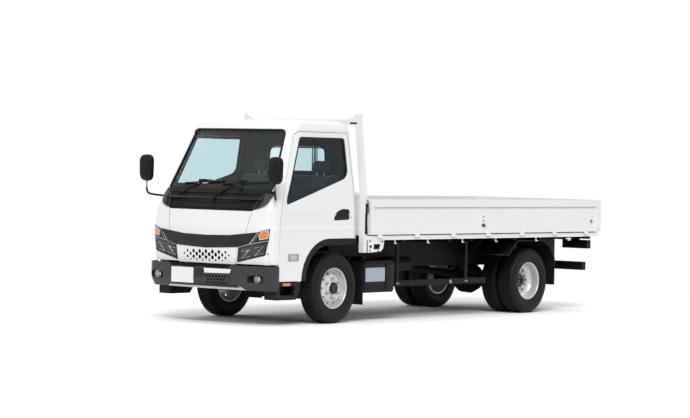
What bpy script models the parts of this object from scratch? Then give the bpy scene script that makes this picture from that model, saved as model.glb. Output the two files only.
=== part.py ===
"""Light cab-over flatbed truck with twin rear wheels, in metres.

The front points to -Y, the truck's left side is +X, and Z is up from the ground.
Every y below is measured rearwards from the front axle; the empty "truck" carries
all pieces and puts the middle of the overall length at y = 0.
"""
import math

import bmesh
import bpy
from mathutils import Matrix, Vector

# Clearances
SEAT = 0.0003             # between pieces that touch
SEAM = 0.005              # between panels that move apart
GLASS_SET = 0.012         # glass lies this deep behind the panel's outer face
GLASS_THICK = 0.005

# Wheels and axles
WHEELBASE = 3.30
TYRE_RADIUS = 0.352
TYRE_WIDTH = 0.195
RIM_RADIUS = 0.222        # outer edge of the rim flange
FRONT_TYRE_X = 0.692
REAR_OUTER_X = 0.7325
REAR_INNER_X = 0.5025
KINGPIN_X = 0.590
WHEEL_SIDES = 28

# Frame
RAIL_X = 0.345            # outer face of each rail
RAIL_FLANGE = 0.065
RAIL_GAUGE = 0.008
RAIL_BOTTOM = 0.520
RAIL_TOP = 0.700
RAIL_FRONT = -0.900
GEARBOX_END = 1.180
AXLE_NOSE = 0.262         # from the rear axle's centre to its input flange
RAIL_REAR = 4.470

# Cab
CAB_HALF = 0.790          # half width at the sill; the sections below go by it
CAB_REAR = 0.320
CAB_WALL = 0.040
WELL_SET = 0.002          # footwell walls stand in by this much
CAB_BOTTOM = 0.600
FLOOR_FRONT = 0.715       # underside of the footwell
FLOOR_REAR = 0.8463       # underside over wheels and engine
FLOOR_STEP = -0.420
FLOOR_THICK = 0.030
CAB_TOP = 2.020
ROOF_INNER = CAB_TOP - 0.045
TILT_Y = -0.940
TILT_Z = 0.615

LAMP_BACK = -0.925        # rear limit of the headlamp's opening

# Doors and wheel arch
DOOR_THICK = 0.045
DOOR_HINGE_X = CAB_HALF + 0.013
DOOR_FRONT = -0.870
DOOR_REAR = 0.272
DOOR_BOTTOM = 0.437
DOOR_TOP = 1.900
HINGE_LEAVES = ((0.640, 0.700), (1.000, 1.060))   # z of the leaves between pillar and door
ARCH_Y = -0.120
ARCH_Z = 0.445
ARCH_RADIUS = 0.405

# Bumper and steps
BUMPER_FRONT = -1.105
BUMPER_HALF = CAB_HALF + 0.022
BUMPER_BOTTOM = 0.345
BUMPER_TOP = 0.585
BUMPER_SKIN = 0.010
BUMPER_END = -0.885

# Deck
DECK_REAR = 4.540
DECK_HALF = 0.855         # half width of the floor
FLOOR_TOP = 0.905
DECK_FLOOR_THICK = 0.030
RIM_X = DECK_HALF + 0.025      # outer face of the rail round the deck
RIM_BOTTOM = 0.830
RIM_TOP = 0.874
HEAD_FRONT = 0.345
HEAD_DEPTH = 0.055
DECK_FRONT = HEAD_FRONT + HEAD_DEPTH + SEAT
HEAD_TOP = 2.040
HEAD_HALF = DECK_HALF + SEAM   # outer face of a post
UNDERRUN_HALF = DECK_HALF - 0.055

# Gates
GATE_THICK = 0.035
GATE_BOTTOM = 0.885
GATE_TOP = 1.242
GATE_FRONT = 0.410
GATE_OUT = RIM_X + 0.015       # outer face of a side gate
HINGE_OUT = 0.010         # from the gate's outer face to the hinge pins
HINGE_Z = 0.862
HINGE_RADIUS = 0.010

FRONT_END = BUMPER_FRONT
TAIL_OUT = DECK_REAR + SEAM + GATE_THICK
REAR_END = TAIL_OUT + HINGE_OUT + HINGE_RADIUS

WHITE = ((0.82, 0.83, 0.84), 0.28, 0.0)
BLACK = ((0.020, 0.020, 0.022), 0.55, 0.0)
DARK_STEEL = ((0.035, 0.035, 0.038), 0.50, 0.4)
RUBBER = ((0.018, 0.018, 0.018), 0.85, 0.0)
SILVER = ((0.62, 0.63, 0.65), 0.28, 0.9)
GLASS = ((0.10, 0.13, 0.14), 0.05, 0.0)
LAMP = ((0.45, 0.46, 0.48), 0.12, 0.2)
RED_LAMP = ((0.55, 0.02, 0.02), 0.15, 0.0)
FABRIC = ((0.055, 0.058, 0.062), 0.90, 0.0)
GREY = ((0.16, 0.16, 0.17), 0.60, 0.0)
TIMBER = ((0.32, 0.20, 0.11), 0.75, 0.0)


# Basic solids

def clear_scene():
    for obj in list(bpy.data.objects):
        bpy.data.objects.remove(obj)


def solid(bm):
    """Turn a bmesh into an object of its own, faces outward."""
    bmesh.ops.remove_doubles(bm, verts=bm.verts, dist=1e-6)
    bmesh.ops.recalc_face_normals(bm, faces=bm.faces)
    mesh = bpy.data.meshes.new("solid")
    bm.to_mesh(mesh)
    bm.free()
    obj = bpy.data.objects.new("solid", mesh)
    bpy.context.scene.collection.objects.link(obj)
    return obj


def box(low, high):
    bm = bmesh.new()
    size = Vector(high) - Vector(low)
    middle = (Vector(high) + Vector(low)) / 2
    place = Matrix.Translation(middle) @ Matrix.Diagonal((*size, 1))
    bmesh.ops.create_cube(bm, size=1, matrix=place)
    return solid(bm)


def loft(sections):
    """Skin closed loops of equal length and cap both ends."""
    bm = bmesh.new()
    loops = [[bm.verts.new(point) for point in section] for section in sections]
    for lower, upper in zip(loops, loops[1:]):
        for i, vert in enumerate(lower):
            j = (i + 1) % len(lower)
            bm.faces.new((vert, lower[j], upper[j], upper[i]))
    bm.faces.new(loops[0])
    bm.faces.new(reversed(loops[-1]))
    return solid(bm)


def prism(outline, axis, low, high):
    """Extrude a flat outline along an axis; the outline gives the other two values."""
    spot = {"x": lambda a, b, c: (c, a, b),
            "y": lambda a, b, c: (a, c, b),
            "z": lambda a, b, c: (a, b, c)}[axis]
    return loft([[spot(a, b, c) for a, b in outline] for c in (low, high)])


def turned(profile, sides, centre, axis="x"):
    """Revolve (along, radius) points about an axis through centre; a flat lies lowest."""
    bm = bmesh.new()
    loops = []
    for step in range(sides):
        angle = 2 * math.pi * (step + 0.5) / sides
        c, s = math.cos(angle), math.sin(angle)
        if axis == "x":
            points = [(a, r * c, r * s) for a, r in profile]
        elif axis == "y":
            points = [(r * c, a, r * s) for a, r in profile]
        else:
            points = [(r * c, r * s, a) for a, r in profile]
        loops.append([bm.verts.new(Vector(p) + Vector(centre)) for p in points])
    count = len(profile)
    for k, loop in enumerate(loops):
        after = loops[(k + 1) % sides]
        for i in range(count):
            j = (i + 1) % count
            if profile[i][1] == 0 and profile[j][1] == 0:
                continue
            corners = [loop[i], loop[j], after[j], after[i]]
            if profile[i][1] == 0:
                corners = [loop[i], loop[j], after[j]]
            elif profile[j][1] == 0:
                corners = [loop[i], loop[j], after[i]]
            bm.faces.new(corners)
    return solid(bm)


def rod(start, end, radius, sides=12):
    """A straight round bar between two points."""
    start, end = Vector(start), Vector(end)
    bm = bmesh.new()
    turn = (end - start).to_track_quat("Z", "Y").to_matrix().to_4x4()
    place = Matrix.Translation((start + end) / 2) @ turn
    bmesh.ops.create_cone(bm, cap_ends=True, segments=sides, radius1=radius, radius2=radius,
                          depth=(end - start).length, matrix=place)
    return solid(bm)


def tube(points, radius):
    """A round bar bent along points, closed at both ends."""
    curve = bpy.data.curves.new("path", "CURVE")
    curve.dimensions = "3D"
    curve.bevel_depth = radius
    curve.bevel_resolution = 1
    curve.use_fill_caps = True
    spline = curve.splines.new("POLY")
    spline.points.add(len(points) - 1)
    for spot, point in zip(spline.points, points):
        spot.co = (*point, 1)
    obj = bpy.data.objects.new("path", curve)
    bpy.context.scene.collection.objects.link(obj)
    graph = bpy.context.evaluated_depsgraph_get()
    bm = bmesh.new()
    bm.from_mesh(bpy.data.meshes.new_from_object(obj.evaluated_get(graph)))
    bpy.data.objects.remove(obj)
    return solid(bm)


# Working on solids

def combine(base, others, operation):
    for other in others:
        step = base.modifiers.new("step", "BOOLEAN")
        step.operation = operation
        step.solver = "EXACT"
        step.object = other
    graph = bpy.context.evaluated_depsgraph_get()
    mesh = bpy.data.meshes.new_from_object(base.evaluated_get(graph))
    base.modifiers.clear()
    base.data = mesh
    for other in others:
        bpy.data.objects.remove(other)
    return base


def join(base, *others):
    return combine(base, others, "UNION")


def cut(base, *others):
    return combine(base, others, "DIFFERENCE")


def keep(base, *others):
    return combine(base, others, "INTERSECT")


def bevel(obj, width, segments=1, angle=30.0):
    """Round every edge that is sharper than angle."""
    bm = bmesh.new()
    bm.from_mesh(obj.data)
    sharp = [e for e in bm.edges if len(e.link_faces) == 2
             and e.calc_face_angle(0) > math.radians(angle)]
    bmesh.ops.bevel(bm, geom=sharp, offset=width, segments=segments, profile=0.5,
                    affect="EDGES", clamp_overlap=True)
    bm.to_mesh(obj.data)
    bm.free()
    return obj


def mirrored(obj):
    """The same solid on the truck's other side."""
    bm = bmesh.new()
    bm.from_mesh(obj.data)
    bmesh.ops.scale(bm, vec=(-1, 1, 1), verts=bm.verts)
    bmesh.ops.reverse_faces(bm, faces=bm.faces)
    mesh = bpy.data.meshes.new("solid")
    bm.to_mesh(mesh)
    bm.free()
    twin = bpy.data.objects.new("solid", mesh)
    bpy.context.scene.collection.objects.link(twin)
    return twin


def finish(name, obj, look, pivot=(0, 0, 0), smooth=40.0):
    """Name a piece, give it its material and set its origin on its axis."""
    colour, roughness, metallic = look
    bm = bmesh.new()
    bm.from_mesh(obj.data)
    bmesh.ops.remove_doubles(bm, verts=bm.verts, dist=2e-6)
    bmesh.ops.dissolve_limit(bm, angle_limit=math.radians(0.05), verts=bm.verts, edges=bm.edges)
    bmesh.ops.triangulate(bm, faces=[f for f in bm.faces if len(f.verts) > 4])
    bm.to_mesh(obj.data)
    bm.free()
    obj.name = name
    obj.data.name = name
    material = bpy.data.materials.new(name + "_finish")
    material.use_nodes = True
    shader = material.node_tree.nodes["Principled BSDF"]
    shader.inputs["Base Color"].default_value = (*colour, 1)
    shader.inputs["Roughness"].default_value = roughness
    shader.inputs["Metallic"].default_value = metallic
    obj.data.materials.clear()
    obj.data.materials.append(material)
    obj.data.shade_smooth()
    obj.data.set_sharp_from_angle(angle=math.radians(smooth))
    obj.data.transform(Matrix.Translation(-Vector(pivot)))
    obj.location = pivot
    obj.parent = bpy.data.objects["truck"]
    return obj


def pair(name, left, look, pivot=(0, 0, 0)):
    """Finish a left piece and its mirror image."""
    right = mirrored(left)
    finish(name + "_left", left, look, pivot)
    finish(name + "_right", right, look, (-pivot[0], pivot[1], pivot[2]))


def arc(centre, radius, start, end, steps):
    """Points of an arc, angles in degrees."""
    spots = []
    for step in range(steps + 1):
        angle = math.radians(start + (end - start) * step / steps)
        spots.append((centre[0] + radius * math.cos(angle),
                      centre[1] + radius * math.sin(angle)))
    return spots


def both_sides(half):
    """Mirror an outline's x > 0 half, which runs from one end to the other."""
    return half + [(-a, b) for a, b in reversed(half) if a > 0]


def rounded(outline, radius, steps=2):
    """Replace each corner of an outline by a short curve."""
    spots = []
    count = len(outline)
    for i in range(count):
        here = Vector(outline[i])
        before = Vector(outline[i - 1]) - here
        after = Vector(outline[(i + 1) % count]) - here
        reach = min(radius, before.length * 0.45, after.length * 0.45)
        a = here + before.normalized() * reach
        b = here + after.normalized() * reach
        for step in range(steps + 1):
            t = step / steps
            spots.append(tuple(a * (1 - t) ** 2 + here * 2 * t * (1 - t) + b * t ** 2))
    return spots


# Cab body: plan sections stacked in z

CAB_SECTIONS = (
    # z, half width, front y at the centre, bow of the front, corner radius, rear y
    (0.400, CAB_HALF - 0.004, -1.046, 0.045, 0.13, CAB_REAR),
    (0.600, CAB_HALF, -1.050, 0.045, 0.13, CAB_REAR),
    (0.780, CAB_HALF + 0.006, -1.060, 0.045, 0.13, CAB_REAR),
    (0.950, CAB_HALF + 0.013, -1.062, 0.045, 0.13, CAB_REAR),
    (0.975, CAB_HALF + 0.008, -1.058, 0.045, 0.13, CAB_REAR),
    (1.120, CAB_HALF + 0.006, -1.030, 0.045, 0.13, CAB_REAR),
    (1.300, CAB_HALF - 0.012, -0.930, 0.048, 0.13, CAB_REAR),
    (1.930, CAB_HALF - 0.112, -0.620, 0.050, 0.12, CAB_REAR),
    (1.985, CAB_HALF - 0.135, -0.570, 0.050, 0.12, 0.305),
    (2.012, CAB_HALF - 0.190, -0.490, 0.050, 0.12, 0.250),
    (CAB_TOP, CAB_HALF - 0.270, -0.400, 0.050, 0.12, 0.180),
)


def plan_outline(half, front, bow, radius, rear):
    """Half of a plan section, from the front's centre round to the rear's centre."""
    flat = half - radius
    nose = [(flat * s, front + bow * s * s) for s in (0.0, 0.45, 0.8)]
    corner = arc((flat, front + bow + radius), radius, -90, 0, 4)
    back = arc((half - 0.04, rear - 0.04), 0.04, 0, 90, 2)
    return nose + corner + back + [(0.0, rear)]


def cab_loft(inset, low=0.40, high=CAB_TOP):
    """The cab's outer form, drawn in by inset and cut at two heights."""
    def section_at(z):
        rows = CAB_SECTIONS
        for lower, upper in zip(rows, rows[1:]):
            if lower[0] <= z <= upper[0]:
                t = (z - lower[0]) / (upper[0] - lower[0])
                return [a + (b - a) * t for a, b in zip(lower, upper)]
        return list(rows[-1] if z > rows[-1][0] else rows[0])

    heights = [low] + [row[0] for row in CAB_SECTIONS if low < row[0] < high] + [high]
    sections = []
    for z in heights:
        _, half, front, bow, radius, rear = section_at(z)
        half_loop = plan_outline(half - inset, front + inset, bow, radius - inset * 0.8,
                                 rear - inset)
        sections.append([(x, y, z) for x, y in both_sides(half_loop)])
    return loft(sections)


def wall_piece(region, outer=0.0, inner=CAB_WALL):
    """The part of the cab's wall that lies inside a region."""
    return cut(keep(region, cab_loft(outer)), cab_loft(inner, 0.39, CAB_TOP + 0.010))


def front_region(opening, grow=0.0):
    """A prism through the cab's front face; grow widens it about its own middle."""
    outline, back = opening
    cx = sum(p[0] for p in outline) / len(outline)
    cz = sum(p[1] for p in outline) / len(outline)
    spots = []
    for x, z in outline:
        away = Vector((x - cx, z - cz))
        away = away + away.normalized() * grow
        spots.append((cx + away.x, cz + away.y))
    return prism(spots, "y", -1.40, back + 2 * grow)


# Openings of the front face: outline as (x, z), and how far back the cut reaches
WINDSHIELD = (rounded(both_sides([(0.700, 1.305), (0.598, 1.925)]), 0.06, 3), -0.450)
COWL = (both_sides([(0.540, 1.115), (0.680, 1.185), (0.715, 1.299)]), -0.800)
BAND = (both_sides([(0.0, 0.752), (0.400, 0.770), (0.548, 0.806), (0.640, 0.914),
                    (0.300, 0.876), (0.0, 0.868)]), -0.930)
FASCIA = (both_sides([(0.0, 0.592), (0.370, 0.592), (0.402, 0.762), (0.0, 0.744)]), -0.975)
HEADLAMP = ([(0.645, 0.912), (0.764, 0.950), (0.752, 0.840), (0.722, 0.690),
             (0.392, 0.612), (0.412, 0.764), (0.556, 0.800)], LAMP_BACK)
HEADLAMP_RIGHT = ([(-x, z) for x, z in HEADLAMP[0]], HEADLAMP[1])
REAR_GLASS = rounded(both_sides([(0.400, 1.440), (0.380, 1.760)]), 0.06, 3)


def door_outline(grow=0.0):
    """Door edge in the side view as (y, z), with the wheel arch cut into it."""
    g = grow
    arch = arc((ARCH_Y, ARCH_Z), ARCH_RADIUS - g, 180, 90, 8)
    return ([(DOOR_FRONT - g, DOOR_BOTTOM - g), (arch[0][0], DOOR_BOTTOM - g)] + arch[1:]
            + [(DOOR_REAR + g, ARCH_Z + ARCH_RADIUS - g), (DOOR_REAR + g, DOOR_TOP - 0.02),
               (DOOR_REAR - 0.02 + g, DOOR_TOP + g), (-0.480 - g, DOOR_TOP + g),
               (-0.535 - g, 1.875 + g), (-0.660 - g, 1.600), (-0.780 - g, 1.320),
               (-0.835 - g, 1.160), (DOOR_FRONT - g, 1.000)])


SIDE_WINDOW = rounded([(-0.770, 1.180), (0.160, 1.445), (0.212, 1.510), (0.212, 1.852),
                       (-0.480, 1.852), (-0.640, 1.500), (-0.760, 1.250)], 0.03)


def cab_shell():
    body = cab_loft(0.0, CAB_BOTTOM)
    room = cab_loft(CAB_WALL, FLOOR_REAR + FLOOR_THICK, ROOF_INNER)
    well = keep(cab_loft(CAB_WALL + WELL_SET, FLOOR_FRONT + FLOOR_THICK, 0.90),
                box((-1, -1.2, 0.5), (1, FLOOR_STEP - FLOOR_THICK, 1.2)))
    under = [(DOOR_FRONT - SEAM, 0.5), (0.5, 0.5), (0.5, FLOOR_REAR), (FLOOR_STEP, FLOOR_REAR),
             (FLOOR_STEP, FLOOR_FRONT), (DOOR_FRONT - SEAM, FLOOR_FRONT)]
    under_nose = box((-0.750, -0.985, 0.5), (0.750, -0.600, FLOOR_FRONT - 0.001))
    cut(body, room, well, prism(under, "x", -1, 1), under_nose)
    for side in (-1, 1):
        opening = prism(door_outline(SEAM), "x", side * 0.50, side * 1.0)
        cut(body, cut(opening, cab_loft(DOOR_THICK + SEAM, 0.30, CAB_TOP + 0.080)))
    for opening in (WINDSHIELD, COWL, BAND, FASCIA, HEADLAMP, HEADLAMP_RIGHT):
        cut(body, front_region(opening, 0.0 if opening == WINDSHIELD else 0.002))
    cut(body, prism(REAR_GLASS, "y", 0.20, 0.40))
    for side in (-1, 1):
        lug = box((side * 0.30 - 0.012, TILT_Y - 0.025, TILT_Z - 0.025),
                  (side * 0.30 + 0.012, TILT_Y + 0.025, FLOOR_FRONT + 0.01))
        join(body, lug)
        for low, high in HINGE_LEAVES:
            leaf = prism([(DOOR_FRONT - 0.030, low), (DOOR_FRONT - SEAT, low),
                          (DOOR_FRONT - SEAT, high), (DOOR_FRONT - 0.030, high)],
                         "x", side * (CAB_HALF - 0.045), side * (CAB_HALF - 0.012))
            join(body, leaf)
    return body


def build_cab():
    finish("cab_shell", cab_shell(), WHITE)
    windshield = wall_piece(front_region(WINDSHIELD, -SEAT), GLASS_SET, GLASS_SET + GLASS_THICK)
    finish("windshield", windshield, GLASS)
    glass_y = CAB_REAR - GLASS_SET
    small = [(x * 0.9992, 1.600 + (z - 1.600) * 0.998) for x, z in REAR_GLASS]
    finish("rear_window", prism(small, "y", glass_y - GLASS_THICK, glass_y), GLASS)
    finish("cowl_panel", wall_piece(front_region(COWL, -0.001), 0.0, 0.020), BLACK)
    finish("grille_band", wall_piece(front_region(BAND, -0.001), -0.004, 0.025), BLACK)
    finish("front_fascia", front_fascia(), WHITE)
    lamp = wall_piece(front_region(HEADLAMP, -0.001), -0.003, 0.038)
    pair("headlamp", lamp, LAMP)


def honeycomb(x_low, x_high, z_middle, rows, pitch, hole):
    """Six-sided cutters in staggered rows between two values of x."""
    cutters = []
    middle = (x_low + x_high) / 2
    reach = int((x_high - x_low) / 2 / pitch) + 1
    for row in range(rows):
        z = z_middle + (row - (rows - 1) / 2) * pitch * 0.80
        for column in range(-reach, reach + 1):
            x = middle + (column + (row % 2) / 2) * pitch
            if x_low <= x <= x_high:
                cutters.append(prism(arc((x, z), hole, 30, 330, 5), "y", -1.2, -0.95))
    return cutters


def front_fascia():
    """White lower panel with a honeycomb of air holes."""
    panel = wall_piece(front_region(FASCIA, -0.001), 0.0, 0.020)
    return cut(panel, *honeycomb(-0.276, 0.276, 0.682, 3, 0.042, 0.015))


HANDLE_CUP = rounded([(-0.060, 1.030), (0.190, 1.036), (0.195, 1.140), (0.080, 1.145),
                      (-0.020, 1.110)], 0.030)


def build_doors():
    region = prism(door_outline(), "x", 0.60, 1.0)
    door = wall_piece(region, 0.0, DOOR_THICK)
    cut(door, prism(SIDE_WINDOW, "x", 0.5, 1.0), prism(HANDLE_CUP, "x", 0.772, 1.0))
    grip = prism([(-0.066, 1.070), (0.200, 1.074), (0.200, 1.102), (-0.066, 1.096)],
                 "x", 0.60, 1.0)
    join(door, wall_piece(grip, 0.002, 0.012))
    pair("door", door, WHITE, pivot=(DOOR_HINGE_X, DOOR_FRONT, 0.70))
    small = [(y * 0.9996, 1.5 + (z - 1.5) * 0.9990) for y, z in SIDE_WINDOW]
    glass = wall_piece(prism(small, "x", 0.5, 1.0), GLASS_SET, GLASS_SET + GLASS_THICK)
    pair("door_glass", glass, GLASS, pivot=(DOOR_HINGE_X, DOOR_FRONT, 0.70))


def build_flares():
    """Black lip and liner inside each front wheel arch."""
    lift = 0.004
    outer = ([(ARCH_Y - ARCH_RADIUS + lift, DOOR_BOTTOM)]
             + arc((ARCH_Y, ARCH_Z), ARCH_RADIUS - lift, 180, 90, 8)
             + [(CAB_REAR, ARCH_Z + ARCH_RADIUS - lift)])

    def band(depth, low, high):
        inner = ([(CAB_REAR, ARCH_Z + ARCH_RADIUS - lift - depth)]
                 + arc((ARCH_Y, ARCH_Z), ARCH_RADIUS - lift - depth, 90, 180, 8)
                 + [(ARCH_Y - ARCH_RADIUS + lift + depth, DOOR_BOTTOM)])
        return prism(outer + inner, "x", low, high)

    flare = join(band(0.012, 0.430, CAB_HALF - 0.020),
                 band(0.062, CAB_HALF - 0.030, CAB_HALF + 0.002))
    pair("arch_flare", flare, BLACK)


def build_mirrors():
    arm = tube([(0.728, -0.850, 1.235), (0.760, -0.905, 1.240), (0.840, -1.000, 1.255),
                (0.852, -1.020, 1.300), (0.852, -1.020, 1.400)], 0.011)
    head_outline = rounded([(0.775, 1.380), (0.935, 1.380), (0.945, 1.650), (0.770, 1.650)], 0.05)
    head = bevel(prism(head_outline, "y", -1.060, -1.000), 0.012, 1, 50)
    pair("mirror", cut(join(head, arm), cab_loft(-SEAT)), BLACK)


def build_interior():
    dash = [(-0.990, 0.80), (-0.720, 0.80), (-0.640, 0.98), (-0.600, 1.16), (-0.660, 1.235),
            (-0.880, 1.235), (-0.990, 1.10)]
    board = keep(prism(dash, "x", -0.70, 0.70), cab_loft(CAB_WALL + WELL_SET + SEAT, 0.76, 1.9))
    cut(board, box((-0.62, -0.86, 0.70), (0.62, -0.55, 0.93)))
    column = rod((WHEEL_CENTRE - WHEEL_AXIS * 0.040), (WHEEL_CENTRE - WHEEL_AXIS * 0.36), 0.030)
    finish("dashboard", join(board, column), GREY)
    base_z = FLOOR_REAR + FLOOR_THICK + SEAT
    seats = box((-0.690, -0.330, base_z), (0.690, 0.230, 1.060))
    for low, high, head in ((-0.650, -0.130, -0.390), (-0.080, 0.650, 0.390)):
        back = [(0.050, 1.03), (0.180, 1.03), (0.262, 1.46), (0.190, 1.50), (0.150, 1.46)]
        join(seats, prism(back, "x", low, high))
        rest = [(0.195, 1.46), (0.235, 1.46), (0.262, 1.62), (0.205, 1.63)]
        join(seats, prism(rest, "x", head - 0.12, head + 0.12))
    finish("seats", seats, FABRIC)
    build_steering_wheel()


WHEEL_CENTRE = Vector((-0.380, -0.470, 1.300))
WHEEL_AXIS = Vector((0.0, 0.50, 0.866))


def build_steering_wheel():
    """Rim, three spokes and hub, turning about the column."""
    rim_radius, grip = 0.195, 0.013
    bm = bmesh.new()
    sides, around = 28, 6
    for i in range(sides):
        for j in range(around):
            u, v = 2 * math.pi * i / sides, 2 * math.pi * j / around
            r = rim_radius + grip * math.cos(v)
            bm.verts.new((r * math.cos(u), r * math.sin(u), grip * math.sin(v)))
    bm.verts.ensure_lookup_table()
    for i in range(sides):
        for j in range(around):
            a, b = i * around, ((i + 1) % sides) * around
            k = (j + 1) % around
            bm.faces.new([bm.verts[n] for n in (a + j, b + j, b + k, a + k)])
    wheel = solid(bm)
    for degrees in (90, 210, 330):
        angle = math.radians(degrees)
        tip = (rim_radius * math.cos(angle), rim_radius * math.sin(angle), 0)
        join(wheel, rod((0, 0, -0.004), tip, 0.011, 8))
    join(wheel, turned([(-0.0395, 0), (-0.0395, 0.045), (0.010, 0.050), (0.010, 0)], 16,
                       (0, 0, 0), "z"))
    turn = WHEEL_AXIS.to_track_quat("Z", "Y").to_matrix().to_4x4()
    wheel.data.transform(Matrix.Translation(WHEEL_CENTRE) @ turn)
    finish("steering_wheel", wheel, BLACK, pivot=tuple(WHEEL_CENTRE))


# Bumper and steps

def bumper_loft(inset, low, high):
    rows = ((0.345, BUMPER_HALF - 0.020, BUMPER_FRONT + 0.045, 0.12),
            (0.405, BUMPER_HALF - 0.004, BUMPER_FRONT + 0.008, 0.14),
            (0.440, BUMPER_HALF, BUMPER_FRONT, 0.14),
            (0.585, BUMPER_HALF, BUMPER_FRONT + 0.002, 0.14))
    sections = []
    for z, half, front, radius in rows:
        z = low if z == rows[0][0] else high if z == rows[-1][0] else z
        loop = plan_outline(half - inset, front + inset, 0.05, radius - inset * 0.8, -0.5)
        sections.append([(x, y, z) for x, y in both_sides(loop)])
    return loft(sections)


# Openings of the bumper as (x, z)
FOG_CUP = rounded([(0.560, 0.420), (0.745, 0.425), (0.765, 0.480), (0.700, 0.500),
                   (0.560, 0.490)], 0.020)
SLOT = [(-0.440, 0.560), (0.330, 0.560), (0.370, 0.600), (-0.480, 0.600)]
SKID = [(-0.490, 0.350), (0.510, 0.350), (0.420, 0.382), (-0.430, 0.382)]
PLATE = [(-0.420, 0.386), (-0.110, 0.386), (-0.110, 0.550), (-0.420, 0.550)]


def front_pad(outline, proud):
    """A raised patch of the bumper's skin."""
    raised = keep(prism(outline, "y", -1.3, -0.9),
                  bumper_loft(-proud, BUMPER_BOTTOM, BUMPER_TOP))
    return cut(raised, bumper_loft(0.004, BUMPER_BOTTOM, BUMPER_TOP))


def build_bumper():
    shell = bumper_loft(0.0, BUMPER_BOTTOM, BUMPER_TOP)
    hollow = bumper_loft(BUMPER_SKIN, BUMPER_BOTTOM + BUMPER_SKIN, BUMPER_TOP + 0.02)
    cut(shell, hollow, box((-1, BUMPER_END, 0.2), (1, 0, 0.8)))
    for side in (-1, 1):
        x = side * (RAIL_X - 0.010)
        join(shell, box((x - 0.010, BUMPER_FRONT + 0.004, 0.430),
                        (x + 0.010, RAIL_FRONT - SEAT, 0.490)))
        cup = [(side * x, z) for x, z in FOG_CUP]
        middle = Vector((side * 0.660, 0, 0.458))
        wide = [(middle.x + (x - middle.x) * 1.10, middle.z + (z - middle.z) * 1.25)
                for x, z in cup]
        pod = keep(prism(wide, "y", -1.2, -0.975),
                   bumper_loft(0.003, BUMPER_BOTTOM, BUMPER_TOP))
        join(shell, pod)
        cut(shell, prism(cup, "y", -1.3, -1.005))
        join(shell, turned([(-0.990, 0), (-0.990, 0.030), (-1.020, 0.030), (-1.026, 0.022),
                            (-1.026, 0)], 14, (middle.x, 0, middle.z), "y"))
    cut(shell, prism(SLOT, "y", -1.3, -0.95), *honeycomb(0.055, 0.300, 0.440, 3, 0.040, 0.014))
    join(shell, front_pad(SKID, 0.008), front_pad(PLATE, 0.003))
    finish("bumper", shell, GREY)


def build_steps():
    """Entry step below each door, bolted to the frame by an arm."""
    top = DOOR_BOTTOM - SEAM
    outline = [(-0.880, 0.255), (-0.600, 0.255), (-0.545, 0.330), (-0.535, top), (-0.880, top)]
    step = prism(outline, "x", 0.620, CAB_HALF - 0.006)
    cut(step, prism([(-0.840, 0.300), (-0.620, 0.300), (-0.620, 0.390), (-0.840, 0.390)],
                    "x", 0.660, 0.90))
    join(step, box((RAIL_X + SEAT, -0.760, 0.560), (0.400, -0.700, 0.640)),
         prism([(0.380, 0.560), (0.400, 0.640), (0.650, 0.420), (0.630, 0.340)], "y",
               -0.750, -0.710))
    pair("step", step, BLACK)


# Chassis

def build_frame():
    """Two channel rails tied by cross members, with brackets at the front."""
    rails = []
    for side in (-1, 1):
        web, tip = side * RAIL_X, side * (RAIL_X - RAIL_FLANGE)
        inside = side * (RAIL_X - RAIL_GAUGE)
        outline = [(web, RAIL_BOTTOM), (tip, RAIL_BOTTOM), (tip, RAIL_BOTTOM + RAIL_GAUGE),
                   (inside, RAIL_BOTTOM + RAIL_GAUGE), (inside, RAIL_TOP - RAIL_GAUGE),
                   (tip, RAIL_TOP - RAIL_GAUGE), (tip, RAIL_TOP), (web, RAIL_TOP)]
        rails.append(prism(outline, "y", RAIL_FRONT, RAIL_REAR))
    frame = rails[0]
    join(frame, rails[1])
    reach = RAIL_X - RAIL_GAUGE / 2
    for y, low, high in ((-0.860, 0.550, 0.640), (1.300, 0.640, 0.690), (2.650, 0.590, 0.670),
                         (3.950, 0.560, 0.660), (4.440, 0.550, 0.680)):
        join(frame, box((-reach, y - 0.030, low), (reach, y + 0.025, high)))
    for side in (-1, 1):
        x = side * (RAIL_X - 0.010)
        low, high = min(x - 0.010, x + 0.010), max(x - 0.010, x + 0.010)
        join(frame, box((low + 0.001, RAIL_FRONT - 0.070, 0.585), (high - 0.001, -0.800, 0.650)))
        join(frame, box((low + 0.001, RAIL_FRONT, 0.420), (high - 0.001, -0.830, 0.540)))
        join(frame, box((low + 0.001, 4.330, 0.430), (high - 0.001, 4.420, 0.600)))
        join(frame, box((side * 0.310 - 0.020, 0.220, 0.690),
                        (side * 0.310 + 0.020, 0.280, FLOOR_REAR - SEAT)))
    join(frame, box((-UNDERRUN_HALF, 4.360, 0.448), (UNDERRUN_HALF, 4.430, 0.540)))
    finish("chassis_frame", frame, DARK_STEEL)


def round_loft(stations, sides=12):
    """Round sections standing across y, as (y, z of the centre, radius)."""
    return loft([[(x, y, z) for x, z in arc((0, centre), radius, 0, 360 - 360 / sides, sides - 1)]
                 for y, centre, radius in stations])


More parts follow.
